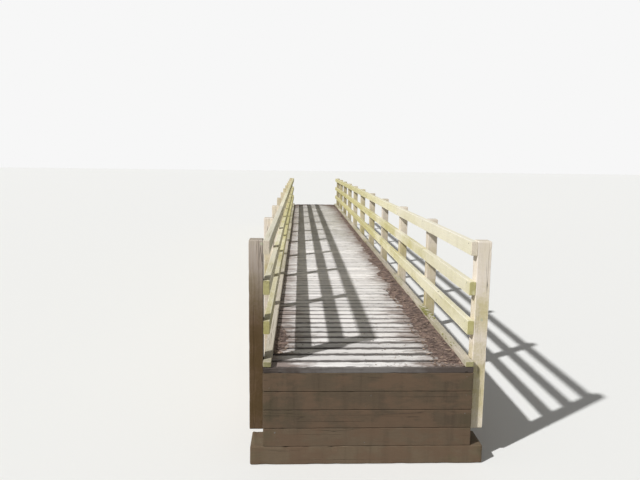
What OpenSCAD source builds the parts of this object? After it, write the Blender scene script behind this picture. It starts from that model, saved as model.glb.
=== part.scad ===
// Straight timber footbridge: cross boards on three laminated beams,
// with posts, three rails and a kerb along each side.
// +Y runs along the bridge, +X to its right, +Z up. The origin lies on the
// ground at the middle of the bridge.

/* [Bridge] */
// Number of bays between posts along each side
bays = 10; // [2:1:10]
// Distance from one post to the next, centre to centre
bay = 1600; // [1400:10:1900]
// Deck width, from the inner faces of the left posts to those of the right
deck_w = 1600; // [1300:10:2200]

/* [Parapet] */
// Height of the handrail's top above the boards
handrail_h = 960; // [900:5:1200]
// Open gap from one rail to the next
rail_gap = 195; // [120:5:210]
// Height of each rail
rail_h = 110; // [80:1:120]
// Thickness of each rail
rail_t = 50; // [30:1:70]
// Side of an intermediate post
post_w = 98; // [70:1:120]
// Side of an end post
end_post_w = 106; // [80:1:130]
// How far each post runs down beside its beam, below the boards
post_drop = 470; // [300:5:500]

/* [Kerb] */
// Width of the kerb
kerb_w = 75; // [45:1:90]
// Height of the kerb
kerb_h = 45; // [35:1:110]
// How far the kerbs run on past the end posts
kerb_over = 50; // [0:5:80]

/* [Deck] */
// Width of one board, along the bridge
board_w = 140; // [100:1:190]
// Thickness of a board
board_t = 45; // [30:1:60]
// Least open gap between two boards
board_gap = 7; // [3:0.5:12]
// How far the deck stops short of the kerbs' ends
deck_setback = 0; // [0:5:40]
// Boards to one stretch of deck that is lifted in together
boards_per_stretch = 22; // [20:1:40]

/* [Beams] */
// Width of each beam
beam_w = 140; // [90:1:180]
// Depth of each beam
beam_d = 585; // [520:5:700]
// Thickness of the blocks that brace the beams apart
block_t = 75; // [45:1:100]
// How far the blocks stop short of the top and bottom of the beams
block_inset = 70; // [30:5:120]
// Rows of blocks along the bridge
block_rows = 6; // [3:1:8]

/* [Bank ends] */
// Thickness of the boards that close the ends of the beams
end_board_t = 45; // [30:1:60]
// Number of boards stacked at each end
end_boards = 4; // [3:1:6]
// Size of each sill along the bridge
sill_w = 250; // [200:5:400]
// Height of each sill
sill_h = 150; // [100:5:250]
// How far each sill runs past the outer beams on each side
sill_over = 100; // [0:5:106]

/* [Fit and finish] */
// Eased edge on the sawn timbers
arris = 3; // [1:0.5:6]
// Open joint where two lengths of timber meet end to end
butt_gap = 3; // [1:0.5:6]

/* [Hidden] */
posts = bays + 1;
span = bays * bay;
parapet_l = span + end_post_w;
kerb_l = parapet_l + 2 * kerb_over;
deck_l = kerb_l - 2 * deck_setback;
beam_l = deck_l - 2 * end_board_t;
half_w = deck_w / 2;

beam_z = sill_h;
board_z = beam_z + beam_d;
deck_z = board_z + board_t;
rail_pitch = rail_h + rail_gap;

board_count = floor((deck_l + board_gap) / (board_w + board_gap));
board_pitch = (deck_l - board_w) / (board_count - 1);
stretches = ceil(board_count / boards_per_stretch);

RIGHT = 1;
LEFT = -1;
TOP = 0;
MID = 1;
LOW = 2;
// Rails and kerbs come in lengths of two bays, and meet on a post
bays_per_length = 2;

WEATHERED = [0.80, 0.76, 0.62];
POST_TAN = [0.66, 0.56, 0.45];
BOARD_GREY = [0.72, 0.69, 0.65];
KERB_PALE = [0.78, 0.74, 0.62];
BEAM_BROWN = [0.55, 0.42, 0.28];
SILL_DARK = [0.36, 0.29, 0.22];

// Where post number i stands along the bridge
function post_y(i) = -span / 2 + (i - 1) * bay;
// Side of post number i
function post_side(i) = (i == 1 || i == posts) ? end_post_w : post_w;
// Posts on which two lengths of rail or kerb meet, counted from post number first
function joint_posts(first) = [for (i = [first:bays_per_length:posts - 1]) i];
// Ends of all lengths in a row of timbers l long, near end first
function length_ends(l, first) =
    concat([-l / 2], [for (i = joint_posts(first)) post_y(i)], [l / 2]);

// Sawn timber with eased edges: w across, h high, l along Y from y = 0
module timber(w, h, l) {
    translate([0, l, 0])
        rotate([90, 0, 0])
            linear_extrude(height = l)
                eased_section(w, h);
}

// Rectangle with its lower left corner at the origin and eased corners
module eased_section(w, h) {
    polygon([
        [arris, 0], [w - arris, 0], [w, arris], [w, h - arris],
        [w - arris, h], [arris, h], [0, h - arris], [0, arris]
    ]);
}

// Timbers laid end to end along one side, l long in all, which meet on posts
module lengths(w, h, l, first) {
    ends = length_ends(l, first);
    last = len(ends) - 1;
    for (k = [0:last - 1]) {
        y_from = ends[k] + (k == 0 ? 0 : butt_gap / 2);
        y_to = ends[k + 1] - (k == last - 1 ? 0 : butt_gap / 2);
        translate([0, y_from, 0]) timber(w, h, y_to - y_from);
    }
}

// Square post on the outer face of an outer beam
module post(side, i) {
    w = post_side(i);
    foot = board_z - post_drop;
    x_from = side == RIGHT ? half_w : -half_w - w;
    color(POST_TAN)
        translate([x_from, post_y(i) - w / 2, foot])
            linear_extrude(height = deck_z + handrail_h - foot)
                eased_section(w, w);
}

// One of the three rails on the inner faces of the posts
module rail(side, level) {
    x_from = side == RIGHT ? half_w - rail_t : -half_w;
    z_from = deck_z + handrail_h - rail_h - level * rail_pitch;
    color(WEATHERED)
        translate([x_from, 0, z_from])
            lengths(rail_t, rail_h, parapet_l, level == MID ? 2 : 3);
}

// Kerb on the boards, tight against the posts
module kerb(side) {
    x_from = side == RIGHT ? half_w - kerb_w : -half_w;
    color(KERB_PALE)
        translate([x_from, 0, deck_z])
            lengths(kerb_w, kerb_h, kerb_l, 3);
}

// Cross boards of one stretch of deck
module deck_boards(k) {
    first = (k - 1) * boards_per_stretch;
    last = min(k * boards_per_stretch, board_count) - 1;
    color(BOARD_GREY)
        for (b = [first:last])
            translate([-half_w, -deck_l / 2 + b * board_pitch, board_z])
                cube([deck_w, board_w, board_t]);
}

// Laminated beam with its middle at x
module beam(x) {
    color(BEAM_BROWN)
        translate([x - beam_w / 2, -beam_l / 2, beam_z])
            timber(beam_w, beam_d, beam_l);
}

// Blocks that brace an outer beam against the middle one
module blocks(side) {
    gap_w = half_w - 1.5 * beam_w;
    x_from = side == RIGHT ? beam_w / 2 : -beam_w / 2 - gap_w;
    y_end = deck_l / 2 - sill_w / 2;
    color(BEAM_BROWN)
        for (r = [0:block_rows - 1])
            translate([
                x_from,
                -y_end + r * 2 * y_end / (block_rows - 1) - block_t / 2,
                beam_z + block_inset
            ])
                cube([gap_w, block_t, beam_d - 2 * block_inset]);
}

// Boards stacked on the sill, across the ends of the beams
module end_board_stack(y_from) {
    board_h = (beam_d - (end_boards - 1) * butt_gap) / end_boards;
    color(SILL_DARK)
        for (k = [0:end_boards - 1])
            translate([-half_w, y_from, beam_z + k * (board_h + butt_gap)])
                cube([deck_w, end_board_t, board_h]);
}

// Sill in the bank that carries one end of the bridge
module sill(y_from) {
    color(SILL_DARK)
        translate([-half_w - sill_over, y_from, 0])
            cube([deck_w + 2 * sill_over, sill_w, sill_h]);
}

module left_top_rail() { rail(LEFT, TOP); }
module left_middle_rail() { rail(LEFT, MID); }
module left_low_rail() { rail(LEFT, LOW); }
module right_top_rail() { rail(RIGHT, TOP); }
module right_middle_rail() { rail(RIGHT, MID); }
module right_low_rail() { rail(RIGHT, LOW); }
module left_kerb() { kerb(LEFT); }
module right_kerb() { kerb(RIGHT); }
module left_beam() { beam(-half_w + beam_w / 2); }
module middle_beam() { beam(0); }
module right_beam() { beam(half_w - beam_w / 2); }
module left_blocks() { blocks(LEFT); }
module right_blocks() { blocks(RIGHT); }
module near_end_boards() { end_board_stack(-deck_l / 2); }
module far_end_boards() { end_board_stack(deck_l / 2 - end_board_t); }
module near_sill() { sill(-deck_l / 2); }
module far_sill() { sill(deck_l / 2 - sill_w); }

for (i = [1:posts]) {
    post(LEFT, i);
    post(RIGHT, i);
}
left_top_rail();
left_middle_rail();
left_low_rail();
right_top_rail();
right_middle_rail();
right_low_rail();
left_kerb();
right_kerb();
for (k = [1:stretches])
    deck_boards(k);
left_beam();
middle_beam();
right_beam();
left_blocks();
right_blocks();
near_end_boards();
far_end_boards();
near_sill();
far_sill();
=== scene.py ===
"""Looks of a straight timber footbridge: worn timbers, their fixings, moss and leaf litter.

Every timber is modelled anew in the place that the frame gives it, with worn edges, slight
waves and open drying checks. Lengths are in metres, colours are written as they look (sRGB).
"""

from __future__ import annotations

import itertools
import logging
import math
import random
import sys
from collections.abc import Callable, Iterable, Sequence
from dataclasses import dataclass, field, replace
from enum import Enum

import bmesh
import bpy
import numpy as np
from mathutils import Matrix, Vector, noise

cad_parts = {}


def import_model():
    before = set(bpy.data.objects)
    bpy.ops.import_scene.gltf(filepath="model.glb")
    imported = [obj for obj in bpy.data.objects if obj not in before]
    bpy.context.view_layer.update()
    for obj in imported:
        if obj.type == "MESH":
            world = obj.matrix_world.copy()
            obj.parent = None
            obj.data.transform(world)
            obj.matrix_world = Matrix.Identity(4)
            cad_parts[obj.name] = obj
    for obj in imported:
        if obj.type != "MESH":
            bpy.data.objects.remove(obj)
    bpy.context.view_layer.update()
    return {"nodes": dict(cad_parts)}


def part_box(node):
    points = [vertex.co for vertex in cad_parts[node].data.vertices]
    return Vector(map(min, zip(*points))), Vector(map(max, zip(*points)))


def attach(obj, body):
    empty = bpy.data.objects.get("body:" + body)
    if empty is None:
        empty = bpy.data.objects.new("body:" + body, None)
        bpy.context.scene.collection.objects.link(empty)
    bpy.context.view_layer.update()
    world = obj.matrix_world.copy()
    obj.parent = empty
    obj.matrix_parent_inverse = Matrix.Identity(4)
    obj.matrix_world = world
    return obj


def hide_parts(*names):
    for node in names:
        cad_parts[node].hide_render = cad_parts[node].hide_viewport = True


log = logging.getLogger("footbridge")

Node = bpy.types.Node
Socket = bpy.types.NodeSocket
Value = Socket | float | Sequence[float]
Inputs = dict[str, Socket]
Outputs = tuple[Socket, ...]
Tint = tuple[float, float, float]
BODY = "root"
UP = Vector((0.0, 0.0, 1.0))
# Places along the bridge between which more film and less bleaching darken the wood, partly as painted
# shade
SHADE_RUN = (-6.5, 2.5)
# Heights between which damp wood gets drier
DAMP_RISE = (1.0, 2.1)


class Side(Enum):
    """The two sides of the bridge, seen along +Y; the value is the sign of X there."""

    LEFT = -1
    RIGHT = 1

    @property
    def word(self) -> str:
        """The side's name as the nodes spell it."""
        return self.name.lower()

    @property
    def out(self) -> Vector:
        """The way that the side looks."""
        return Vector((float(self.value), 0.0, 0.0))

    @classmethod
    def of(cls, name: str) -> Side:
        """Tells which side a node belongs to."""
        return cls.LEFT if name.startswith(cls.LEFT.word) else cls.RIGHT


class End(Enum):
    """The two ends of the bridge; the value is the sign of Y there."""

    NEAR = -1
    FAR = 1

    @property
    def word(self) -> str:
        """The end's name as the nodes spell it."""
        return self.name.lower()

    @property
    def out(self) -> Vector:
        """The way that the end looks."""
        return Vector((0.0, float(self.value), 0.0))


class Grain(Enum):
    """The way that a timber's fibres run: the value turns local +Y onto that axis."""

    ACROSS = Matrix.Rotation(-math.pi / 2, 3, "Z")
    ALONG = Matrix.Identity(3)
    UPRIGHT = Matrix.Rotation(math.pi / 2, 3, "X")


class Face(Enum):
    """A long face of a timber: the local axis that it looks along, and its sign there."""

    RIGHT = (0, 1)
    LEFT = (0, -1)
    TOP = (2, 1)
    BOTTOM = (2, -1)


# Shader node groups


class NodeSheet:
    """Adds and links the nodes of one node tree."""

    def __init__(self, tree: bpy.types.NodeTree) -> None:
        """Keeps the tree that nodes are added to."""
        self.tree = tree

    def node(self, kind: str, *values: Value, **settings: object) -> Node:
        """Adds one node.

        Args:
            kind: The node's type name.
            *values: What feeds its inputs, in order.
            **settings: Properties of the node and their values.

        Returns:
            The new node.
        """
        made = self.tree.nodes.new(kind)
        for name, value in settings.items():
            setattr(made, name, value)
        for socket, value in zip(made.inputs, values):
            self.feed(socket, value)
        return made

    def feed(self, socket: Socket, value: Value) -> None:
        """Links a socket to an output, or sets its own value.

        Args:
            socket: The input to feed.
            value: An output socket, a number or a vector.
        """
        if isinstance(value, bpy.types.NodeSocket):
            self.tree.links.new(value, socket)
        else:
            socket.default_value = value

    def math(self, operation: str, *values: Socket | float, clamp: bool = False) -> Socket:
        """Gives the number that a Math node works out, kept from 0 to 1 where asked."""
        made = self.node("ShaderNodeMath", *values, operation=operation, use_clamp=clamp)
        return made.outputs[0]

    def times(self, a: Socket | float, b: Socket | float) -> Socket:
        """Gives the product of two numbers."""
        return self.math("MULTIPLY", a, b)

    def sloped(self, a: Socket, slope: float, base: Socket | float) -> Socket:
        """Gives a number times a slope, plus a base."""
        return self.math("MULTIPLY_ADD", a, slope, base)

    def flip(self, mask: Socket) -> Socket:
        """Gives one minus a mask."""
        return self.math("SUBTRACT", 1.0, mask)

    def vector(self, operation: str, *values: Socket | Sequence[float]) -> Socket:
        """Gives the vector that a Vector Math node works out."""
        return self.node("ShaderNodeVectorMath", *values, operation=operation).outputs[0]

    def length(self, a: Socket) -> Socket:
        """Gives the length of a vector."""
        return self.node("ShaderNodeVectorMath", a, operation="LENGTH").outputs[1]

    def scaled(self, a: Socket, factor: Socket | float) -> Socket:
        """Scales a vector.

        Args:
            a: The vector.
            factor: The number that it is multiplied by.

        Returns:
            The scaled vector.
        """
        made = self.node("ShaderNodeVectorMath", a, operation="SCALE")
        self.feed(made.inputs[3], factor)
        return made.outputs[0]

    def split(self, a: Socket) -> Outputs:
        """Takes a vector apart along X, Y and Z."""
        return tuple(self.node("ShaderNodeSeparateXYZ", a).outputs)

    def noise(self, at: Socket, stretch: Sequence[float], detail: float = 3.0) -> Node:
        """Adds soft noise.

        Args:
            at: Where the noise is read, in metres.
            stretch: Lumps per metre along each axis.
            detail: How many finer layers lie on the first.

        Returns:
            The noise node: output 0 is a number, output 1 a colour.
        """
        place = self.vector("MULTIPLY", at, stretch)
        made = self.node("ShaderNodeTexNoise", place, noise_dimensions="3D")
        made.inputs["Scale"].default_value = 1.0
        made.inputs["Detail"].default_value = detail
        made.inputs["Roughness"].default_value = 0.6
        return made

    def cells(self, at: Socket, stretch: Sequence[float], feature: str) -> Node:
        """Adds cell noise.

        Args:
            at: Where it is read, in metres.
            stretch: Cells per metre along each axis.
            feature: The Voronoi node's feature.

        Returns:
            The Voronoi node.
        """
        place = self.vector("MULTIPLY", at, stretch)
        made = self.node("ShaderNodeTexVoronoi", place, voronoi_dimensions="3D", feature=feature)
        made.inputs["Scale"].default_value = 1.0
        return made

    def step(self, value: Socket, low: Socket | float, high: Socket | float) -> Socket:
        """Rises smoothly from 0, where a number is low, to 1, where it is high."""
        made = self.node(
            "ShaderNodeMapRange", value, low, high, interpolation_type="SMOOTHSTEP", clamp=True
        )
        return made.outputs[0]

    def blend(self, amount: Socket | float, a: Value, b: Value, how: str = "MIX") -> Socket:
        """Blends two colours.

        Args:
            amount: How much of the second shows, from 0 to 1.
            a: The first colour.
            b: The second colour.
            how: The Mix node's blend type.

        Returns:
            The blended colour.
        """
        made = self.node("ShaderNodeMix", data_type="RGBA", blend_type=how)
        self.feed(made.inputs[0], amount)
        self.feed(made.inputs[6], a)
        self.feed(made.inputs[7], b)
        return made.outputs[2]

    def shade(self, colour: Socket, factor: Socket) -> Socket:
        """Gives a colour times a number."""
        grey = self.node("ShaderNodeCombineXYZ", factor, factor, factor).outputs[0]
        return self.blend(1.0, colour, grey, how="MULTIPLY")

    def attribute(self, name: str) -> Socket:
        """Gives a vector that the mesh carries on its vertices."""
        made = self.node("ShaderNodeAttribute", attribute_type="GEOMETRY", attribute_name=name)
        return made.outputs["Vector"]


@dataclass(frozen=True)
class Effect:
    """A shader node group that several materials share.

    Attributes:
        name: The group's name.
        takes: Each input's name, and whether it is a "Vector" or a "Float".
        gives: Each output's name; all are masks, from 0 to 1.
        wire: Makes the inside: takes a sheet and the inputs, gives the outputs.
    """

    name: str
    takes: dict[str, str]
    gives: tuple[str, ...]
    wire: Callable[[NodeSheet, Inputs], Outputs]

    def tree(self) -> bpy.types.NodeTree:
        """Builds the group the first time it is asked for.

        Returns:
            The group's node tree.
        """
        known = bpy.data.node_groups.get(self.name)
        if known is not None:
            return known
        made = bpy.data.node_groups.new(self.name, "ShaderNodeTree")
        for name, kind in self.takes.items():
            made.interface.new_socket(name=name, in_out="INPUT", socket_type="NodeSocket" + kind)
        for name in self.gives:
            made.interface.new_socket(name=name, in_out="OUTPUT", socket_type="NodeSocketFloat")
        sheet = NodeSheet(made)
        inside = sheet.node("NodeGroupInput")
        outside = sheet.node("NodeGroupOutput")
        results = self.wire(sheet, {name: inside.outputs[name] for name in self.takes})
        for name, result in zip(self.gives, results):
            sheet.feed(outside.inputs[name], result)
        return made

    def place(self, sheet: NodeSheet, **values: Socket | float) -> Outputs:
        """Places the group in a material.

        Args:
            sheet: The material's sheet.
            **values: What feeds each input; an underscore stands for a space.

        Returns:
            The group's outputs, in order.
        """
        made = sheet.node("ShaderNodeGroup", node_tree=self.tree())
        for name, value in values.items():
            sheet.feed(made.inputs[name.replace("_", " ")], value)
        return tuple(made.outputs[name] for name in self.gives)


def wire_rings(sheet: NodeSheet, given: Inputs) -> Outputs:
    """Draws the dark late wood of the growth rings, which wander along the grain.

    Args:
        sheet: The group's sheet.
        given: Its inputs.

    Returns:
        The mask of late wood.
    """
    drift = sheet.noise(given["Grain"], (3.0, 3.0, 1.1), detail=2.0).outputs[1]
    centred = sheet.vector("SUBTRACT", drift, (0.5, 0.5, 0.5))
    moved = sheet.vector("ADD", given["Grain"], sheet.scaled(centred, given["Wander"]))
    flat = sheet.vector("MULTIPLY", moved, (1.0, 1.0, 0.0))
    turns = sheet.math("FRACT", sheet.math("DIVIDE", sheet.length(flat), given["Ring width"]))
    darkens, darkest, stops = 0.35, 0.9, 0.92
    rise = sheet.step(turns, darkens, darkest)
    fall = sheet.step(turns, stops, 1.0)
    return (sheet.math("SUBTRACT", rise, fall, clamp=True),)


def wire_fibres(sheet: NodeSheet, given: Inputs) -> Outputs:
    """Draws fine fibres and broad streaks along the grain.

    Args:
        sheet: The group's sheet.
        given: Its inputs.

    Returns:
        The fine fibres and the broad streaks.
    """
    fine = sheet.noise(given["Grain"], (620.0, 620.0, 9.0), detail=3.0).outputs[0]
    broad = sheet.noise(given["Grain"], (75.0, 75.0, 1.3), detail=4.0).outputs[0]
    least, most = 0.3, 0.7
    return sheet.step(fine, least, most), sheet.step(broad, least, most)


def wire_knots(sheet: NodeSheet, given: Inputs) -> Outputs:
    """Scatters knots, each with a halo where the grain runs round it.

    Args:
        sheet: The group's sheet.
        given: Its inputs.

    Returns:
        The knots and their halos.
    """
    across, along, drawn_out = 0.11, 0.42, 0.8
    core, halo_reach = 0.75, 2.6
    grain = given["Grain"]
    stretch = (1 / across, 1 / across, 1 / along)
    cells = sheet.cells(grain, stretch, "F1")
    away = sheet.vector("SUBTRACT", sheet.vector("MULTIPLY", grain, stretch), cells.outputs["Position"])
    real = sheet.length(sheet.vector("MULTIPLY", away, (across, across, along * drawn_out)))
    ragged = sheet.noise(grain, (90.0, 90.0, 40.0), detail=2.0).outputs[0]
    distance = sheet.times(real, sheet.math("ADD", ragged, 0.5))
    present = sheet.math("LESS_THAN", sheet.split(cells.outputs["Color"])[0], given["Share"])
    radius = given["Radius"]
    knot = sheet.flip(sheet.step(distance, sheet.times(radius, core), radius))
    halo = sheet.flip(sheet.step(distance, radius, sheet.times(radius, halo_reach)))
    return sheet.times(knot, present), sheet.times(halo, present)


def wire_hairlines(sheet: NodeSheet, given: Inputs) -> Outputs:
    """Draws hairline drying checks, along the grain on long faces and radial on end faces.

    Args:
        sheet: The group's sheet.
        given: Its inputs.

    Returns:
        The mask of the hairlines.
    """
    grain, end_face = given["Grain"], given["End face"]
    swing, line_width, fade = 0.0035, 0.05, 0.12
    bend = sheet.noise(grain, (30.0, 30.0, 3.0), detail=2.0).outputs[1]
    bent = sheet.vector("ADD", grain, sheet.vector("MULTIPLY", bend, (swing, swing, 0.0)))
    cells = sheet.cells(bent, (46.0, 46.0, 1.7), "DISTANCE_TO_EDGE")
    line = sheet.flip(sheet.step(cells.outputs[0], 0.0, line_width))
    where = sheet.noise(grain, (14.0, 14.0, 1.6), detail=2.0).outputs[0]
    edge = sheet.flip(given["Share"])
    shown = sheet.step(where, edge, sheet.math("ADD", edge, fade))
    along = sheet.times(sheet.times(line, shown), sheet.flip(end_face))

    rays, ray_width, ray_strength = 9.0, 0.0009, 0.7
    x, z, _ = sheet.split(grain)
    sway = sheet.noise(grain, (40.0, 40.0, 2.0), detail=2.0).outputs[0]
    angle = sheet.math("ARCTAN2", x, z)
    turn = sheet.math("ADD", sheet.times(angle, rays), sheet.times(sway, 0.5))
    off = sheet.math("ABSOLUTE", sheet.math("SUBTRACT", turn, sheet.math("ROUND", turn)))
    flat = sheet.vector("MULTIPLY", grain, (1.0, 1.0, 0.0))
    wide = sheet.times(sheet.times(off, sheet.length(flat)), 1 / rays)
    ray = sheet.times(sheet.flip(sheet.step(wide, 0.0, ray_width)), end_face)
    ray = sheet.times(ray, sheet.step(sway, 0.48, 0.6))
    return (sheet.math("MAXIMUM", along, sheet.times(ray, ray_strength)),)


def wire_faces(sheet: NodeSheet, given: Inputs) -> Outputs:
    """Finds a timber's edges and ends, and what lies below its faces.

    Args:
        sheet: The group's sheet.
        given: Its inputs.

    Returns:
        The edges, the ends, the end faces and the places deep below the faces, which the wood finishes
        darken as painted shade.
    """
    local = given["Local"]
    gap = sheet.vector("SUBTRACT", given["Half"], sheet.vector("ABSOLUTE", local))
    x, z, y = sheet.split(gap)
    rough = sheet.noise(local, (55.0, 55.0, 22.0), detail=3.0).outputs[0]
    edge_play, end_play = 0.012, 0.12
    to_edge = sheet.math("MAXIMUM", x, z)
    ragged = sheet.math("SUBTRACT", to_edge, sheet.times(rough, edge_play))
    edge = sheet.flip(sheet.step(ragged, -0.004, 0.006))
    stained = sheet.math("SUBTRACT", y, sheet.times(rough, end_play))
    end = sheet.flip(sheet.step(stained, -0.04, 0.09))
    end_face = sheet.flip(sheet.step(y, 0.001, 0.004))
    depth = sheet.math("MINIMUM", sheet.math("MINIMUM", x, z), y)
    return edge, end, end_face, sheet.step(depth, 0.004, 0.009)


def wire_streaks(sheet: NodeSheet, given: Inputs) -> Outputs:
    """Draws the streaks that rain leaves down upright faces.

    Args:
        sheet: The group's sheet.
        given: Its inputs.

    Returns:
        The mask of the streaks.
    """
    runs = sheet.noise(given["Place"], (11.0, 11.0, 0.8), detail=6.0).outputs[0]
    slope = sheet.math("ABSOLUTE", sheet.split(given["Facing"])[2])
    upright = sheet.flip(sheet.step(slope, 0.3, 0.7))
    return (sheet.times(sheet.step(runs, 0.46, 0.76), upright),)


def wire_growth(sheet: NodeSheet, given: Inputs) -> Outputs:
    """Spreads a film of algae in patches, with round spots of lichen.

    Args:
        sheet: The group's sheet.
        given: Its inputs.

    Returns:
        The film and the lichen.
    """
    place = given["Place"]
    bare_at, fade = 1.1, 0.35
    smallest, spread, rim = 0.16, 0.25, 0.03
    patches = sheet.noise(place, (2.3, 1.1, 2.9), detail=5.0).outputs[0]
    grit = sheet.noise(place, (60.0, 60.0, 60.0), detail=3.0).outputs[0]
    mass = sheet.math("ADD", sheet.times(grit, 0.3), patches)
    edge = sheet.math("SUBTRACT", bare_at, given["Amount"])
    film = sheet.step(mass, edge, sheet.math("ADD", edge, fade))
    spots = sheet.cells(place, (21.0, 21.0, 21.0), "F1")
    chance, size, _ = sheet.split(spots.outputs["Color"])
    lobed = sheet.math("ADD", spots.outputs["Distance"], sheet.times(grit, 0.22))
    reach = sheet.math("ADD", sheet.times(size, spread), smallest)
    spot = sheet.flip(sheet.step(lobed, sheet.math("SUBTRACT", reach, rim), reach))
    rare = sheet.math("LESS_THAN", chance, given["Lichen"])
    return film, sheet.times(spot, rare)


RINGS = Effect(
    "growth rings",
    {"Grain": "Vector", "Ring width": "Float", "Wander": "Float"},
    ("Late wood",),
    wire_rings,
)
FIBRES = Effect("fibres", {"Grain": "Vector"}, ("Fine", "Broad"), wire_fibres)
KNOTS = Effect(
    "knots",
    {"Grain": "Vector", "Radius": "Float", "Share": "Float"},
    ("Knot", "Halo"),
    wire_knots,
)
HAIRLINES = Effect(
    "hairline checks",
    {"Grain": "Vector", "End face": "Float", "Share": "Float"},
    ("Line",),
    wire_hairlines,
)
FACES = Effect(
    "timber faces",
    {"Local": "Vector", "Half": "Vector"},
    ("Edge", "End", "End face", "Sunk"),
    wire_faces,
)
STREAKS = Effect(
    "rain streaks", {"Place": "Vector", "Facing": "Vector"}, ("Streak",), wire_streaks
)
GROWTH = Effect(
    "algae and lichen",
    {"Place": "Vector", "Amount": "Float", "Lichen": "Float"},
    ("Film", "Lichen"),
    wire_growth,
)


# Finishes


def linear(tint: Tint) -> tuple[float, float, float, float]:
    """Turns a colour as it looks into the shader's linear light.

    Args:
        tint: Red, green and blue from 0 to 1, in sRGB.

    Returns:
        Linear red, green, blue and a full alpha.
    """
    parts = [c / 12.92 if c <= 0.04045 else ((c + 0.055) / 1.055) ** 2.4 for c in tint]
    return parts[0], parts[1], parts[2], 1.0


@dataclass(frozen=True)
class Finish:
    """What a surface is like.

    Attributes:
        name: The material's name.
    """

    name: str

    def material(self) -> bpy.types.Material:
        """Builds the finish's material the first time it is asked for.

        Returns:
            The material.
        """
        known = bpy.data.materials.get(self.name)
        if known is not None:
            return known
        made = bpy.data.materials.new(self.name)
        made.use_nodes = True
        made.node_tree.nodes.clear()
        sheet = NodeSheet(made.node_tree)
        shader = sheet.node("ShaderNodeBsdfPrincipled")
        sheet.node("ShaderNodeOutputMaterial", shader.outputs[0])
        self.wire(sheet, shader)
        return made

    def wire(self, sheet: NodeSheet, shader: Node) -> None:
        """Feeds the shader.

        Args:
            sheet: The material's sheet.
            shader: The Principled BSDF.
        """
        raise NotImplementedError

    def raise_bumps(self, sheet: NodeSheet, shader: Node, height: Socket, relief: float) -> None:
        """Turns a height into the shader's normal.

        Args:
            sheet: The material's sheet.
            shader: The Principled BSDF.
            height: The height, about 0 to 1.
            relief: How high 1 is.
        """
        bump = sheet.node("ShaderNodeBump")
        bump.inputs["Distance"].default_value = relief
        sheet.feed(bump.inputs["Height"], height)
        sheet.feed(shader.inputs["Normal"], bump.outputs[0])


@dataclass(frozen=True)
class Marks:
    """What a wood finish reads from its timbers.

    Attributes:
        grain: Place relative to the pith: across, up and along the fibres.
        local: Place relative to the timber's middle, in the same order.
        half: Half the timber's size, in the same order.
        tone: The timber's own tone, hue and dampness, each from 0 to 1; the dampness also paints shade
            on the near left timbers.
        place: Place on the bridge.
        facing: The way that the surface looks.
        dry: Mask of the places that stand so high that they stay dry.
        far_growth_and_shade: Mask of the far part of the bridge, where more film and less bleaching
            darken the wood, partly as painted shade.
    """

    grain: Socket
    local: Socket
    half: Socket
    tone: Outputs
    place: Socket
    facing: Socket
    dry: Socket
    far_growth_and_shade: Socket


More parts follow.
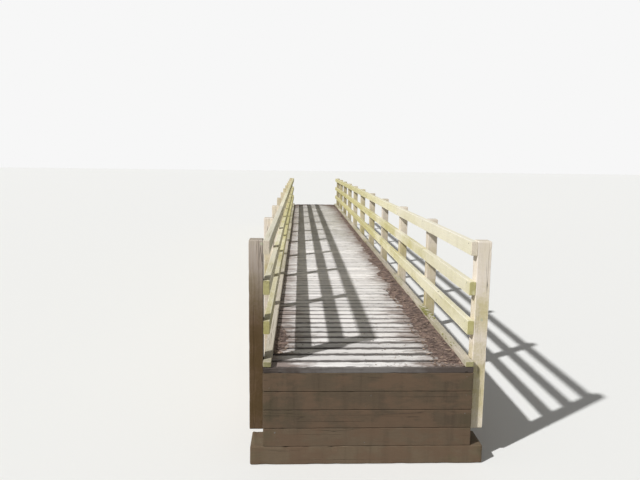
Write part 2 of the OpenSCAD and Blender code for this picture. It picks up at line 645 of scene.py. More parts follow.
@dataclass(frozen=True)
class WoodFinish(Finish):
    """Weathered sawn wood.

    Attributes:
        early: Colour of the pale early wood.
        late: Colour of the dark late wood and of the grain round knots.
        bleached: Colour that sun and rain have left on open faces.
        hue: Colour that some of the timbers lean to.
        damp: Colour that dampness, rain and dirt tint the wood with; on the near left post and rails it
            is also painted shade.
        dark: Colour of knots and hairline checks, and the painted shade in the depths of open checks
            and bores.
        film: Colour of the film of algae.
        lichen: Colour of the lichen.
        end_tint: Colour of the end faces.
        dry_end: Colour of the end faces that stay dry.
        dry_from: Height at which the wood starts to stay dry.
        dry_to: Height above which all of it stays dry.
        bleach: How far the open faces have bleached, from 0 to 1.
        growth: How much of the surface the film covers, from 0 to 1.
        shade_growth: How much more it covers towards the far end, partly as painted shade.
        thickness: How well the film hides the wood, from 0 to 1.
        spots: Share of the places for a lichen that hold one.
        hairlines: Share of the surface with hairline checks.
        knots: Share of the places for a knot that hold one.
        knot_radius: Radius of the knots.
        ring_width: Width of one growth ring.
        contrast: How much one timber's tone differs from the next.
        streak: How dark the rain streaks are.
        edge_dirt: How much dirt clings to dry edges; less than 0 bleaches them.
        relief: Height of the raised grain.
        roughness: Roughness of the dry surface.
    """

    early: Tint
    late: Tint
    bleached: Tint
    hue: Tint
    damp: Tint = (0.36, 0.30, 0.22)
    dark: Tint = (0.15, 0.12, 0.09)
    film: Tint = (0.56, 0.55, 0.28)
    lichen: Tint = (0.76, 0.76, 0.66)
    end_tint: Tint = (0.62, 0.60, 0.36)
    dry_end: Tint = (0.82, 0.75, 0.68)
    dry_from: float = 3.0
    dry_to: float = 4.0
    bleach: float = 0.6
    growth: float = 0.4
    shade_growth: float = 0.12
    thickness: float = 0.5
    spots: float = 0.02
    hairlines: float = 0.45
    knots: float = 0.5
    knot_radius: float = 0.011
    ring_width: float = 0.0042
    contrast: float = 0.25
    streak: float = 0.25
    edge_dirt: float = 0.0
    relief: float = 0.0012
    roughness: float = 0.84

    def wire(self, sheet: NodeSheet, shader: Node) -> None:
        """Feeds the shader from the timbers' own attributes and the shared effects.

        Args:
            sheet: The material's sheet.
            shader: The Principled BSDF.
        """
        marks = self.read_marks(sheet)
        edge, end, end_face, sunk_shade = FACES.place(sheet, Local=marks.local, Half=marks.half)
        rings = RINGS.place(sheet, Grain=marks.grain, Ring_width=self.ring_width, Wander=0.03)[0]
        fine, broad = FIBRES.place(sheet, Grain=marks.grain)
        line = HAIRLINES.place(sheet, Grain=marks.grain, End_face=end_face, Share=self.hairlines)[0]
        knot, halo = KNOTS.place(
            sheet, Grain=marks.grain, Radius=self.knot_radius, Share=self.knots
        )
        knot = sheet.times(knot, sheet.flip(end_face))

        late = sheet.math("MAXIMUM", sheet.times(rings, 0.65), sheet.times(halo, 0.45))
        wood = sheet.blend(late, linear(self.early), linear(self.late))
        wood = sheet.blend(sheet.times(marks.tone[1], 0.6), wood, linear(self.hue))
        wood = sheet.blend(self.bleaching(sheet, marks, broad), wood, linear(self.bleached))
        shade = sheet.sloped(marks.tone[0], self.contrast, 1.0 - 0.6 * self.contrast)
        wood = sheet.shade(wood, sheet.times(shade, sheet.sloped(fine, 0.14, 0.9)))
        end_tint = sheet.blend(marks.dry, linear(self.end_tint), linear(self.dry_end))
        wood = sheet.blend(sheet.times(end_face, 0.7), wood, end_tint)
        wood, crust = self.overgrown(sheet, marks, wood, end)
        wood = self.soiled(sheet, marks, wood)
        not_damp = sheet.sloped(marks.tone[2], -0.9, 1.0)
        worn = sheet.times(edge, sheet.times(not_damp, abs(self.edge_dirt)))
        wood = sheet.blend(worn, wood, linear(self.damp if self.edge_dirt > 0 else self.bleached))
        wood = sheet.blend(sheet.times(knot, 0.75), wood, linear(self.dark))
        # Hairline checks are drawn dark; the depths of open checks and bores get painted shade.
        depth = sheet.math("MAXIMUM", sheet.times(line, 0.7), sheet.times(sunk_shade, 0.92))
        wood = sheet.blend(depth, wood, linear(self.dark))
        sheet.feed(shader.inputs["Base Color"], wood)

        rough = sheet.sloped(broad, 0.12, self.roughness - 0.06)
        rough = sheet.math("SUBTRACT", rough, sheet.times(knot, 0.2))
        sheet.feed(shader.inputs["Roughness"], rough)
        shader.inputs["Specular IOR Level"].default_value = 0.3
        raised = sheet.math("ADD", sheet.times(rings, 0.45), sheet.times(fine, 0.35))
        raised = sheet.math("ADD", raised, sheet.times(crust, 0.6))
        sunken = sheet.math("SUBTRACT", raised, sheet.times(line, 1.3))
        self.raise_bumps(sheet, shader, sunken, self.relief)

    def read_marks(self, sheet: NodeSheet) -> Marks:
        """Reads what the timbers carry.

        Args:
            sheet: The material's sheet.

        Returns:
            The marks.
        """
        place = sheet.node("ShaderNodeTexCoord").outputs["Object"]
        _, along, height = sheet.split(place)
        # Painted shade, partly: the far part is darkened with more film and less bleaching.
        far_growth_and_shade = sheet.step(along, *SHADE_RUN)
        dry = sheet.step(height, self.dry_from, self.dry_to)
        return Marks(
            grain=sheet.attribute("grain"),
            local=sheet.attribute("local"),
            half=sheet.attribute("half"),
            tone=sheet.split(sheet.attribute("tone")),
            place=place,
            facing=sheet.node("ShaderNodeNewGeometry").outputs["Normal"],
            dry=sheet.times(dry, sheet.sloped(far_growth_and_shade, -0.7, 1.0)),
            far_growth_and_shade=far_growth_and_shade,
        )

    def bleaching(self, sheet: NodeSheet, marks: Marks, broad: Socket) -> Socket:
        """Finds how far each place has bleached.

        Args:
            sheet: The material's sheet.
            marks: The timbers' marks.
            broad: The broad streaks along the grain.

        Returns:
            A mask from 0 to 1.
        """
        looks_up = sheet.step(sheet.split(marks.facing)[2], -0.3, 0.8)
        exposed = sheet.sloped(looks_up, 0.5, 0.5)
        patchy = sheet.sloped(broad, 0.5, 0.6)
        patchy = sheet.sloped(marks.dry, 0.35, patchy)
        return sheet.math("MULTIPLY", sheet.times(exposed, patchy), self.bleach, clamp=True)

    def overgrown(self, sheet: NodeSheet, marks: Marks, wood: Socket, end: Socket) -> Outputs:
        """Lays dampness, rain streaks, algae and lichen over the wood, partly as painted shade.

        Args:
            sheet: The material's sheet.
            marks: The timbers' marks.
            wood: The wood's colour.
            end: The mask of the timbers' ends.

        Returns:
            The new colour and the mask of the lichen.
        """
        streak = STREAKS.place(sheet, Place=marks.place, Facing=marks.facing)[0]
        # Painted shade, partly: the film covers more towards the far end.
        amount = sheet.sloped(marks.far_growth_and_shade, self.shade_growth, self.growth)
        film, lichen = GROWTH.place(sheet, Place=marks.place, Amount=amount, Lichen=self.spots)
        wood = sheet.blend(sheet.times(streak, self.streak), wood, linear(self.damp))
        cover = sheet.math("MAXIMUM", sheet.times(film, self.thickness), sheet.times(end, 0.22))
        cover = sheet.times(cover, sheet.sloped(marks.dry, -0.75, 1.0))
        wood = sheet.blend(cover, wood, linear(self.film))
        low = sheet.flip(sheet.step(sheet.split(marks.place)[2], *DAMP_RISE))
        # Darker towards the bottom where the timber is damp; on the near left timbers this is painted
        # shade.
        damp_and_shade = sheet.times(marks.tone[2], sheet.sloped(low, 0.6, 0.4))
        wood = sheet.blend(damp_and_shade, wood, linear(self.damp), how="MULTIPLY")
        return sheet.blend(sheet.times(lichen, 0.8), wood, linear(self.lichen)), lichen

    def soiled(self, sheet: NodeSheet, marks: Marks, wood: Socket) -> Socket:
        """Lays on what soils only this kind of timber: here nothing.

        Args:
            sheet: The material's sheet.
            marks: The timbers' marks.
            wood: The wood's colour.

        Returns:
            The new colour.
        """
        return wood


@dataclass(frozen=True)
class BoardFinish(WoodFinish):
    """Deck boards, worn pale in the middle and soiled along the kerbs.

    Attributes:
        soil: Colour of the dirt.
        clean_half: Half the width of the clean middle of the deck.
        dirty_half: Half the width beyond which the boards are quite soiled.
        lean: How far the clean middle lies to the left of the bridge's own.
        gap_reach: How far the dark of a gap reaches onto a board.
        clean_run: Distance from the bridge's middle up to which no soil is carried in.
        soiled_run: Distance from there at which most soil lies.
    """

    soil: Tint = (0.47, 0.39, 0.35)
    clean_half: float = 0.50
    dirty_half: float = 0.84
    lean: float = 0.06
    gap_reach: float = 0.014
    clean_run: float = 4.8
    soiled_run: float = 8.0

    def soiled(self, sheet: NodeSheet, marks: Marks, wood: Socket) -> Socket:
        """Lays dirt along the kerbs and along the gaps between the boards.

        Args:
            sheet: The material's sheet.
            marks: The timbers' marks.
            wood: The wood's colour.

        Returns:
            The new colour.
        """
        x, y, _ = sheet.split(marks.place)
        carried = sheet.step(sheet.math("ABSOLUTE", y), self.clean_run, self.soiled_run)
        ragged = sheet.noise(marks.place, (6.0, 26.0, 9.0), detail=6.0).outputs[0]
        side = sheet.math("ABSOLUTE", sheet.math("ADD", x, self.lean))
        side = sheet.math("ADD", side, sheet.sloped(ragged, 0.8, -0.4))
        side = sheet.sloped(carried, 0.1, side)
        side = sheet.sloped(marks.tone[0], 0.16, side)
        dirt = sheet.step(side, self.clean_half, self.dirty_half)
        wood = sheet.blend(sheet.times(dirt, 0.85), wood, linear(self.soil))
        inside = sheet.vector("SUBTRACT", marks.half, sheet.vector("ABSOLUTE", marks.local))
        grit = sheet.noise(marks.grain, (70.0, 70.0, 11.0), detail=6.0).outputs[0]
        wavy = sheet.sloped(grit, -0.08, sheet.split(inside)[0])
        reach = sheet.sloped(carried, 0.016, self.gap_reach - 0.04)
        dark = sheet.flip(sheet.step(wavy, sheet.math("SUBTRACT", reach, 0.014), reach))
        strength = sheet.sloped(carried, 0.35, 0.5)
        return sheet.blend(sheet.times(dark, strength), wood, linear(self.damp))


@dataclass(frozen=True)
class LaminatedFinish(WoodFinish):
    """Beams glued up from laminations that lie flat on each other.

    Attributes:
        lamination: Thickness of one lamination.
        base: Height of the beams' underside.
    """

    lamination: float = 0.045
    base: float = 0.15

    def level(self, sheet: NodeSheet, marks: Marks) -> Socket:
        """Gives the height above the beams' underside, counted in laminations."""
        height = sheet.math("SUBTRACT", sheet.split(marks.place)[2], self.base)
        return sheet.math("DIVIDE", height, self.lamination)

    def read_marks(self, sheet: NodeSheet) -> Marks:
        """Gives each lamination a grain and a tone of its own.

        Args:
            sheet: The material's sheet.

        Returns:
            The marks.
        """
        marks = super().read_marks(sheet)
        chance = sheet.node("ShaderNodeTexWhiteNoise", noise_dimensions="1D")
        sheet.feed(chance.inputs["W"], sheet.math("FLOOR", self.level(sheet, marks)))
        own = sheet.vector("MULTIPLY", chance.outputs["Color"], (0.3, 0.3, 7.0))
        tone, hue, _ = sheet.split(chance.outputs["Color"])
        grain = sheet.vector("ADD", marks.grain, own)
        return replace(marks, grain=grain, tone=(tone, hue, marks.tone[2]))

    def soiled(self, sheet: NodeSheet, marks: Marks, wood: Socket) -> Socket:
        """Draws the dark glue lines.

        Args:
            sheet: The material's sheet.
            marks: The timbers' marks.
            wood: The wood's colour.

        Returns:
            The new colour.
        """
        level = self.level(sheet, marks)
        off = sheet.math("ABSOLUTE", sheet.math("SUBTRACT", level, sheet.math("ROUND", level)))
        glue = sheet.flip(sheet.step(off, 0.015, 0.045))
        return sheet.blend(sheet.times(glue, 0.55), wood, linear(self.dark))


@dataclass(frozen=True)
class BuriedFinish(WoodFinish):
    """Timbers that have stood in soil, which has dried onto them.

    Attributes:
        soil: Colour of the soil.
    """

    soil: Tint = (0.42, 0.34, 0.27)

    def soiled(self, sheet: NodeSheet, marks: Marks, wood: Socket) -> Socket:
        """Lays dried soil on in patches.

        Args:
            sheet: The material's sheet.
            marks: The timbers' marks.
            wood: The wood's colour.

        Returns:
            The new colour.
        """
        mass = sheet.noise(marks.place, (5.0, 5.0, 9.0), detail=6.0).outputs[0]
        cover = sheet.times(sheet.step(mass, 0.42, 0.62), 0.75)
        return sheet.blend(cover, wood, linear(self.soil))


@dataclass(frozen=True)
class MottledFinish(Finish):
    """A finish of two colours in fine patches: galvanised steel, soil, moss or leaves.

    Attributes:
        first: One colour.
        second: The other colour.
        patch: Patches per metre.
        metal: How metallic it is, 0 or 1.
        roughness: Middle roughness.
        relief: Height of the bumps.
        toned: How much each item's own tone decides between the colours, from 0 to 1.
    """

    first: Tint
    second: Tint
    patch: float = 120.0
    metal: float = 0.0
    roughness: float = 0.6
    relief: float = 0.0003
    toned: float = 0.0

    def wire(self, sheet: NodeSheet, shader: Node) -> None:
        """Feeds the shader from noise and from each item's own tone.

        Args:
            sheet: The material's sheet.
            shader: The Principled BSDF.
        """
        place = sheet.node("ShaderNodeTexCoord").outputs["Object"]
        lumps = sheet.noise(place, (self.patch,) * 3, detail=8.0).outputs[0]
        amount = sheet.step(lumps, 0.35, 0.65)
        if self.toned:
            own = sheet.times(sheet.split(sheet.attribute("tone"))[0], self.toned)
            amount = sheet.math("ADD", sheet.times(amount, 1.0 - self.toned), own)
        colour = sheet.blend(amount, linear(self.first), linear(self.second))
        sheet.feed(shader.inputs["Base Color"], colour)
        rough = sheet.sloped(lumps, 0.3, self.roughness - 0.15)
        sheet.feed(shader.inputs["Roughness"], rough)
        shader.inputs["Metallic"].default_value = self.metal
        self.raise_bumps(sheet, shader, lumps, self.relief)


RAIL_WOOD = WoodFinish(
    "rail wood",
    early=(0.97, 0.95, 0.83),
    late=(0.87, 0.82, 0.64),
    bleached=(0.97, 0.95, 0.90),
    hue=(0.93, 0.91, 0.69),
    film=(0.73, 0.69, 0.34),
    dry_from=1.44,
    dry_to=1.7,
    end_tint=(0.74, 0.71, 0.44),
    dry_end=(0.92, 0.86, 0.80),
    growth=0.58,
    # Far rails darkened with more film, partly as painted shade
    shade_growth=0.4,
    thickness=0.66,
    hairlines=0.3,
    bleach=0.55,
    contrast=0.14,
    streak=0.1,
    edge_dirt=-0.3,
)
POST_WOOD = WoodFinish(
    "post wood",
    early=(1.0, 0.95, 0.89),
    late=(0.87, 0.79, 0.69),
    bleached=(1.0, 0.97, 0.95),
    hue=(0.93, 0.87, 0.71),
    damp=(0.40, 0.335, 0.27),
    film=(0.76, 0.71, 0.42),
    dry_end=(0.88, 0.84, 0.78),
    dry_from=1.2,
    dry_to=1.65,
    growth=0.64,
    thickness=0.7,
    bleach=0.6,
    contrast=0.2,
    streak=0.15,
    edge_dirt=-0.3,
)
BOARD_WOOD = BoardFinish(
    "board wood",
    early=(0.98, 0.97, 0.96),
    late=(0.83, 0.80, 0.78),
    bleached=(1.0, 0.985, 0.975),
    hue=(0.91, 0.88, 0.85),
    damp=(0.25, 0.22, 0.20),
    film=(0.62, 0.60, 0.52),
    end_tint=(0.60, 0.55, 0.48),
    growth=0.24,
    # Far boards darkened with more film, partly as painted shade
    shade_growth=0.5,
    thickness=0.5,
    bleach=0.75,
    hairlines=0.5,
    contrast=0.24,
    ring_width=0.0055,
)
KERB_WOOD = WoodFinish(
    "kerb wood",
    early=(0.86, 0.82, 0.74),
    late=(0.66, 0.60, 0.50),
    bleached=(0.91, 0.88, 0.83),
    hue=(0.75, 0.70, 0.58),
    film=(0.58, 0.57, 0.36),
    growth=0.52,
    thickness=0.6,
    bleach=0.6,
    contrast=0.22,
    edge_dirt=0.25,
)
BEAM_WOOD = LaminatedFinish(
    "beam wood",
    early=(0.64, 0.52, 0.38),
    late=(0.47, 0.36, 0.25),
    bleached=(0.66, 0.60, 0.52),
    hue=(0.54, 0.44, 0.33),
    damp=(0.26, 0.21, 0.16),
    film=(0.38, 0.40, 0.24),
    growth=0.38,
    bleach=0.4,
    hairlines=0.3,
    spots=0.0,
    contrast=0.18,
    streak=0.3,
)
BLOCK_WOOD = WoodFinish(
    "block wood",
    early=(0.60, 0.49, 0.36),
    late=(0.44, 0.34, 0.24),
    bleached=(0.62, 0.55, 0.46),
    hue=(0.52, 0.43, 0.32),
    damp=(0.26, 0.21, 0.16),
    film=(0.38, 0.40, 0.24),
    bleach=0.35,
    growth=0.36,
    spots=0.0,
    streak=0.3,
)
BURIED_WOOD = BuriedFinish(
    "buried wood",
    early=(0.54, 0.46, 0.37),
    late=(0.38, 0.31, 0.24),
    bleached=(0.60, 0.54, 0.46),
    hue=(0.45, 0.39, 0.30),
    damp=(0.24, 0.20, 0.16),
    film=(0.40, 0.40, 0.25),
    end_tint=(0.40, 0.35, 0.27),
    growth=0.42,
    bleach=0.45,
    hairlines=0.4,
    spots=0.0,
    contrast=0.25,
    streak=0.4,
)
ZINC = MottledFinish(
    "weathered zinc",
    first=(0.58, 0.59, 0.58),
    second=(0.42, 0.38, 0.34),
    metal=1.0,
    roughness=0.55,
)
MOSS = MottledFinish(
    "moss",
    first=(0.38, 0.39, 0.20),
    second=(0.60, 0.58, 0.32),
    patch=260.0,
    roughness=0.95,
    relief=0.003,
    toned=0.5,
)
SOIL = MottledFinish(
    "soil",
    first=(0.26, 0.205, 0.185),
    second=(0.52, 0.44, 0.40),
    patch=14.0,
    roughness=0.97,
    relief=0.004,
)
LEAVES = MottledFinish(
    "dead leaves",
    first=(0.26, 0.20, 0.18),
    second=(0.67, 0.585, 0.52),
    patch=55.0,
    roughness=0.8,
    relief=0.001,
    toned=0.75,
)


# Timbers


@dataclass(frozen=True)
class Box:
    """The place of one solid.

    Attributes:
        low: Its lowest corner.
        high: Its highest corner.
    """

    low: Vector
    high: Vector

    @classmethod
    def of_node(cls, name: str) -> Box:
        """Gives the place of a whole node."""
        low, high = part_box(name)
        return cls(Vector(low), Vector(high))

    @property
    def size(self) -> Vector:
        """Its extent along each axis."""
        return self.high - self.low

    @property
    def middle(self) -> Vector:
        """Its centre."""
        return (self.low + self.high) / 2

    @property
    def grain(self) -> Grain:
        """The way that the fibres of a timber in it run: along its longest side."""
        sides = list(self.size)
        return (Grain.ACROSS, Grain.ALONG, Grain.UPRIGHT)[sides.index(max(sides))]


def as_mesh(bm: bmesh.types.BMesh, name: str) -> bpy.types.Mesh:
    """Turns a bmesh into a mesh.

    Args:
        bm: The bmesh; it is used up.
        name: The mesh's name.

    Returns:
        The mesh.
    """
    mesh = bpy.data.meshes.new(name)
    bm.to_mesh(mesh)
    bm.free()
    return mesh


def ease(
    bm: bmesh.types.BMesh, edges: list[bmesh.types.BMEdge], offset: float, segments: int = 1
) -> None:
    """Eases edges.

    Args:
        bm: The shape so far.
        edges: The edges to ease.
        offset: How far the easing reaches onto each face.
        segments: Number of faces across it.
    """
    bmesh.ops.bevel(
        bm,
        geom=edges,
        offset=offset,
        offset_type="OFFSET",
        segments=segments,
        profile=0.5,
        affect="EDGES",
        material=-1,
    )


def add_cylinder(
    bm: bmesh.types.BMesh, sides: int, radius: float, length: float, matrix: Matrix
) -> list[bmesh.types.BMVert]:
    """Adds a cylinder that stands along +Z with its middle on the origin, and moves it.

    Args:
        bm: The shape so far.
        sides: Number of its sides.
        radius: Its radius.
        length: Its length.
        matrix: What moves it into place.

    Returns:
        Its vertices.
    """
    made = bmesh.ops.create_cone(
        bm,
        cap_ends=True,
        segments=sides,
        radius1=radius,
        radius2=radius,
        depth=length,
        matrix=matrix,
    )
    return made["verts"]


def raised(bm: bmesh.types.BMesh) -> list[bmesh.types.BMVert]:
    """Extrudes all faces of an open shape, where they lie.

    Args:
        bm: The shape so far.

    Returns:
        The vertices of the raised faces.
    """
    made = bmesh.ops.extrude_face_region(bm, geom=list(bm.faces))["geom"]
    return [item for item in made if isinstance(item, bmesh.types.BMVert)]


def placed(name: str, data: bpy.types.ID) -> bpy.types.Object:
    """Makes an object and links it to the scene.

    Args:
        name: The object's name.
        data: Its mesh, lamp or camera.

    Returns:
        The object.
    """
    made = bpy.data.objects.new(name, data)
    bpy.context.scene.collection.objects.link(made)
    return made


def solids_of(node: bpy.types.Object) -> list[Box]:
    """Finds the separate solids of a frame node.

    Args:
        node: The node's object.

    Returns:
        Each solid's box, sorted along the bridge and then upwards.
    """
    bm = bmesh.new()
    bm.from_mesh(node.data)
    bmesh.ops.remove_doubles(bm, verts=bm.verts, dist=1e-5)
    waiting = set(bm.verts)
    boxes = []
    while waiting:
        rim = [waiting.pop()]
        island = list(rim)
        while rim:
            vert = rim.pop()
            for near in (edge.other_vert(vert) for edge in vert.link_edges):
                if near in waiting:
                    waiting.discard(near)
                    island.append(near)
                    rim.append(near)
        low = Vector(min(vert.co[axis] for vert in island) for axis in range(3))
        high = Vector(max(vert.co[axis] for vert in island) for axis in range(3))
        boxes.append(Box(low, high))
    bm.free()
    return sorted(boxes, key=lambda box: (round(box.middle.y, 3), round(box.middle.z, 3)))


@dataclass(frozen=True)
class Check:
    """A drying check that stands open along a face of a timber.

    Attributes:
        face: The face that it opens.
        across: Where it lies across that face, from 0 to 1.
        start: Where it starts along the timber, from 0 to 1.
        end: Where it ends along the timber, from 0 to 1.
        width: Its greatest opening.
        depth: Its greatest depth.
    """

    face: Face
    across: float
    start: float
    end: float
    width: float = 0.003
    depth: float = 0.009

    def opening(self, run: float) -> float:
        """Tells how far it stands open.

        Args:
            run: A place along it, from 0 at its start to 1 at its end.

        Returns:
            The share of its greatest opening: none at its tips, all where it runs out of an end.
        """
        if not 0.0 <= run <= 1.0:
            return 0.0
        if self.start <= 0.0:
            return (1.0 - run) ** 0.6
        if self.end >= 1.0:
            return run**0.6
        return math.sin(math.pi * run) ** 0.6


@dataclass(frozen=True)
class Bore:
    """A round recess that hides the head of a bolt.

    Attributes:
        mouth: The middle of its mouth.
        out: The way that it opens.
        radius: Its radius.
        depth: Its depth.
    """

    mouth: Vector
    out: Vector
    radius: float = 0.019
    depth: float = 0.02


@dataclass
class Timber:
    """One sawn timber, modelled along local +Y and then turned into its place.

    Attributes:
        box: Its place.
        grain: The way its fibres run.
        seed: Sets its waves, wear, tone and rings.
        node: The name of its node.
        number: Its number within the node, from 0.
        rng: The node's own source of chance.
        arris: Size of its eased edges.
        end_arris: Size of the worn edges round its ends.
        step: Distance between the rings of vertices along it.
        columns: Number of extra lines of vertices along its top and bottom.
        wave: How far its faces dip.
        wear: How far its edges are worn back at most.
        cup: How far its top is cupped; less than 0 leaves the middle high.
        damp: How damp it is, from 0 to 1; on the near left post and the first left rail lengths it also
            stands for painted shade.
        bores: The recesses for bolts.
    """

    box: Box
    grain: Grain
    seed: int
    node: str
    number: int
    rng: random.Random
    arris: float = 0.004
    end_arris: float = 0.004
    step: float = 0.04
    columns: int = 0
    wave: float = 0.0008
    wear: float = 0.004
    cup: float = 0.0
    damp: float = 0.0
    checks: list[Check] = field(default_factory=list)
    bores: list[Bore] = field(default_factory=list)

    @property
    def half(self) -> Vector:
        """Half its size across, along and up, in its own axes."""
        turned = self.grain.value.transposed() @ self.box.size
        return Vector(abs(part) for part in turned) / 2

    @property
    def turn(self) -> Matrix:
        """What turns and moves it from its own axes into its place."""
        return Matrix.Translation(self.box.middle) @ self.grain.value.to_4x4()

    def add_checks(self, faces: Sequence[Face], count: int, longest: float) -> None:
        """Opens checks at random, none of them over another.

        Args:
            faces: The faces that may open.
            count: How many checks.
            longest: The greatest share of the timber's length that one runs.
        """
        rng = self.rng
        for number in range(count):
            length = rng.uniform(0.4, 1.0) * longest
            start = rng.uniform(0.02, 0.98 - length)
            across = 0.12 + 0.76 * (number + rng.uniform(0.3, 0.7)) / count
            width = rng.uniform(0.0015, 0.0035)
            face = rng.choice(faces)
            self.checks.append(Check(face, across, start, start + length, width, 3 * width))

    def mesh(self) -> bpy.types.Mesh:
        """Models the timber.

        Returns:
            A closed mesh in place, with the attributes that the wood finishes read.
        """
        bm = bmesh.new()
        bmesh.ops.create_cube(bm, size=1.0)
        bmesh.ops.scale(bm, vec=self.half * 2, verts=bm.verts)
        long_edges = [edge for edge in bm.edges if edge.verts[0].co.y * edge.verts[1].co.y < 0]
        ease(bm, long_edges, self.arris, segments=2)
        self.cut_lines(bm)
        self.cut_rings(bm)
        self.weather(bm)
        bmesh.ops.transform(bm, matrix=self.turn, verts=bm.verts)
        mesh = as_mesh(bm, "timber")
        if self.bores:
            mesh = bored(mesh, self.bores)
        self.mark(mesh)
        return mesh

    def cut_lines(self, bm: bmesh.types.BMesh) -> None:
        """Cuts lines along the timber, for its checks and for the curve of its top.

        Args:
            bm: The timber so far.
        """
        cuts = []
        for number in range(self.columns):
            cuts.append((0, self.half.x * (2 * (number + 1) / (self.columns + 1) - 1)))
        for check in self.checks:
            axis = 2 - check.face.value[0]
            middle = (2 * check.across - 1) * self.half[axis]
            cuts += [(axis, middle + shift * check.width) for shift in (-0.5, 0.0, 0.5)]
        for axis, offset in cuts:
            self.cut(bm, axis, offset)

    def cut(self, bm: bmesh.types.BMesh, axis: int, offset: float) -> None:
        """Cuts the whole timber square to an axis.

        Args:
            bm: The timber so far.
            axis: The local axis.
            offset: Where the cut crosses that axis.
        """
        normal = Vector((0.0, 0.0, 0.0))
        normal[axis] = 1.0
        geom = [*bm.verts, *bm.edges, *bm.faces]
        bmesh.ops.bisect_plane(bm, geom=geom, plane_co=normal * offset, plane_no=normal)

    def cut_rings(self, bm: bmesh.types.BMesh) -> None:
        """Cuts rings of vertices along the timber, and close ones to round its ends.

        Args:
            bm: The timber so far.
        """
        run = 2 * self.half.y
        long_edges = [e for e in bm.edges if abs(e.verts[0].co.y - e.verts[1].co.y) > 0.95 * run]
        cuts = max(1, round(run / self.step))
        bmesh.ops.subdivide_edgering(bm, edges=long_edges, interp_mode="LINEAR", cuts=cuts)
        for end in (-1, 1):
            for share in (1.0, 0.35):
                self.cut(bm, 1, end * (self.half.y - share * self.end_arris))

    def weather(self, bm: bmesh.types.BMesh) -> None:
        """Lets the faces dip, wears the edges back and opens the checks.

        Args:
            bm: The timber so far.
        """
        half = self.half
        shift = Vector((self.seed * 1.37 % 97, self.seed * 2.11 % 89, self.seed * 0.73 % 83))
        waves_per_metre, chips_per_metre = 4.0, 17.0
        bm.normal_update()
        moves = {}
        for vert in bm.verts:
            place = vert.co.copy()
            on_edge = all(abs(place[axis]) > half[axis] - 1.1 * self.arris for axis in (0, 2))
            dip = self.wave * (noise.noise(place * waves_per_metre + shift) * 0.5 + 0.5)
            if on_edge or half.y - abs(place.y) < self.end_arris:
                dip += self.wear * max(0.0, noise.noise(place * chips_per_metre + shift)) ** 1.3
            move = vert.normal * -dip
            if place.z > half.z - self.arris:
                bow = (place.x / half.x) ** 2
                move.z -= abs(self.cup) * (1.0 - bow if self.cup > 0 else bow)
            moves[vert] = move
        for check in self.checks:
            self.open_check(bm, check, shift)
        for vert, move in moves.items():
            vert.co += move
        self.round_ends(bm)

    def round_ends(self, bm: bmesh.types.BMesh) -> None:
        """Rounds the edges of both ends.

        Args:
            bm: The timber so far.
        """
        half = self.half
        for vert in bm.verts:
            reach = (abs(vert.co.y) - (half.y - self.end_arris)) / self.end_arris
            if reach <= 0.0:
                continue
            inset = self.end_arris * (1.0 - math.sqrt(max(0.0, 1.0 - min(reach, 1.0) ** 2)))
            for axis in (0, 2):
                vert.co[axis] *= (half[axis] - inset) / half[axis]

    def open_check(self, bm: bmesh.types.BMesh, check: Check, shift: Vector) -> None:
        """Sinks the middle line of a check into its face.

        Args:
            bm: The timber so far.
            check: The check to open.
            shift: Where in the noise this timber reads.
        """
        up, sign = check.face.value
        across = 2 - up
        middle = (2 * check.across - 1) * self.half[across]
        # The lips lie half a width from the middle line, and nearly meet where it is shut
        past_lips, near_middle, shut = 0.51 * check.width, 0.1 * check.width, 0.1
        sways_per_metre = 7.0
        for vert in bm.verts:
            away = vert.co[across] - middle
            if abs(away) > past_lips or sign * vert.co[up] < self.half[up] - self.arris:
                continue
            run = (vert.co.y / (2 * self.half.y) + 0.5 - check.start) / (check.end - check.start)
            opening = check.opening(run)
            if abs(away) < near_middle:
                vert.co[up] -= sign * check.depth * opening
            at = Vector((vert.co.y * sways_per_metre, shift.x, shift.y))
            sway = 0.5 * self.arris * noise.noise(at)
            vert.co[across] = middle + away * (shut + (1.0 - shut) * opening) + sway

    def mark(self, mesh: bpy.types.Mesh) -> None:
        """Writes the attributes that the wood finishes read.

        Args:
            mesh: The timber's mesh, in place.
        """
        rng = random.Random(self.seed)
        heart = np.array(
            (
                rng.uniform(-0.09, 0.09),
                rng.choice((-1, 1)) * rng.uniform(0.05, 0.12),
                rng.uniform(-40.0, 40.0),
            )
        )
        count = len(mesh.vertices)
        place = np.empty(count * 3, dtype=np.float32)
        mesh.vertices.foreach_get("co", place)
        local = (place.reshape(-1, 3) - np.array(self.box.middle)) @ np.array(self.grain.value)
        local = local[:, (0, 2, 1)]
        half = self.half
        marks = {
            "grain": local - heart,
            "local": local,
            "half": np.tile((half.x, half.z, half.y), (count, 1)),
            "tone": np.tile((rng.random(), rng.random() ** 2, self.damp), (count, 1)),
        }
        for name, values in marks.items():
            write_mark(mesh, name, values)


def write_mark(mesh: bpy.types.Mesh, name: str, values: np.ndarray) -> None:
    """Writes a vector on each of a mesh's vertices.

    Args:
        mesh: The mesh.
        name: The attribute's name.
        values: One row of three for each vertex.
    """
    known = mesh.attributes.get(name)
    if known is None:
        known = mesh.attributes.new(name, "FLOAT_VECTOR", "POINT")
    known.data.foreach_set("vector", np.ascontiguousarray(values, dtype=np.float32).ravel())


def aimed(at: Vector, out: Vector) -> Matrix:
    """Makes a matrix that moves the origin to a place and turns +Z outwards.

    Args:
        at: The place.
        out: The way that +Z turns to.

    Returns:
        The matrix.
    """
    return Matrix.Translation(at) @ out.to_track_quat("Z", "Y").to_matrix().to_4x4()


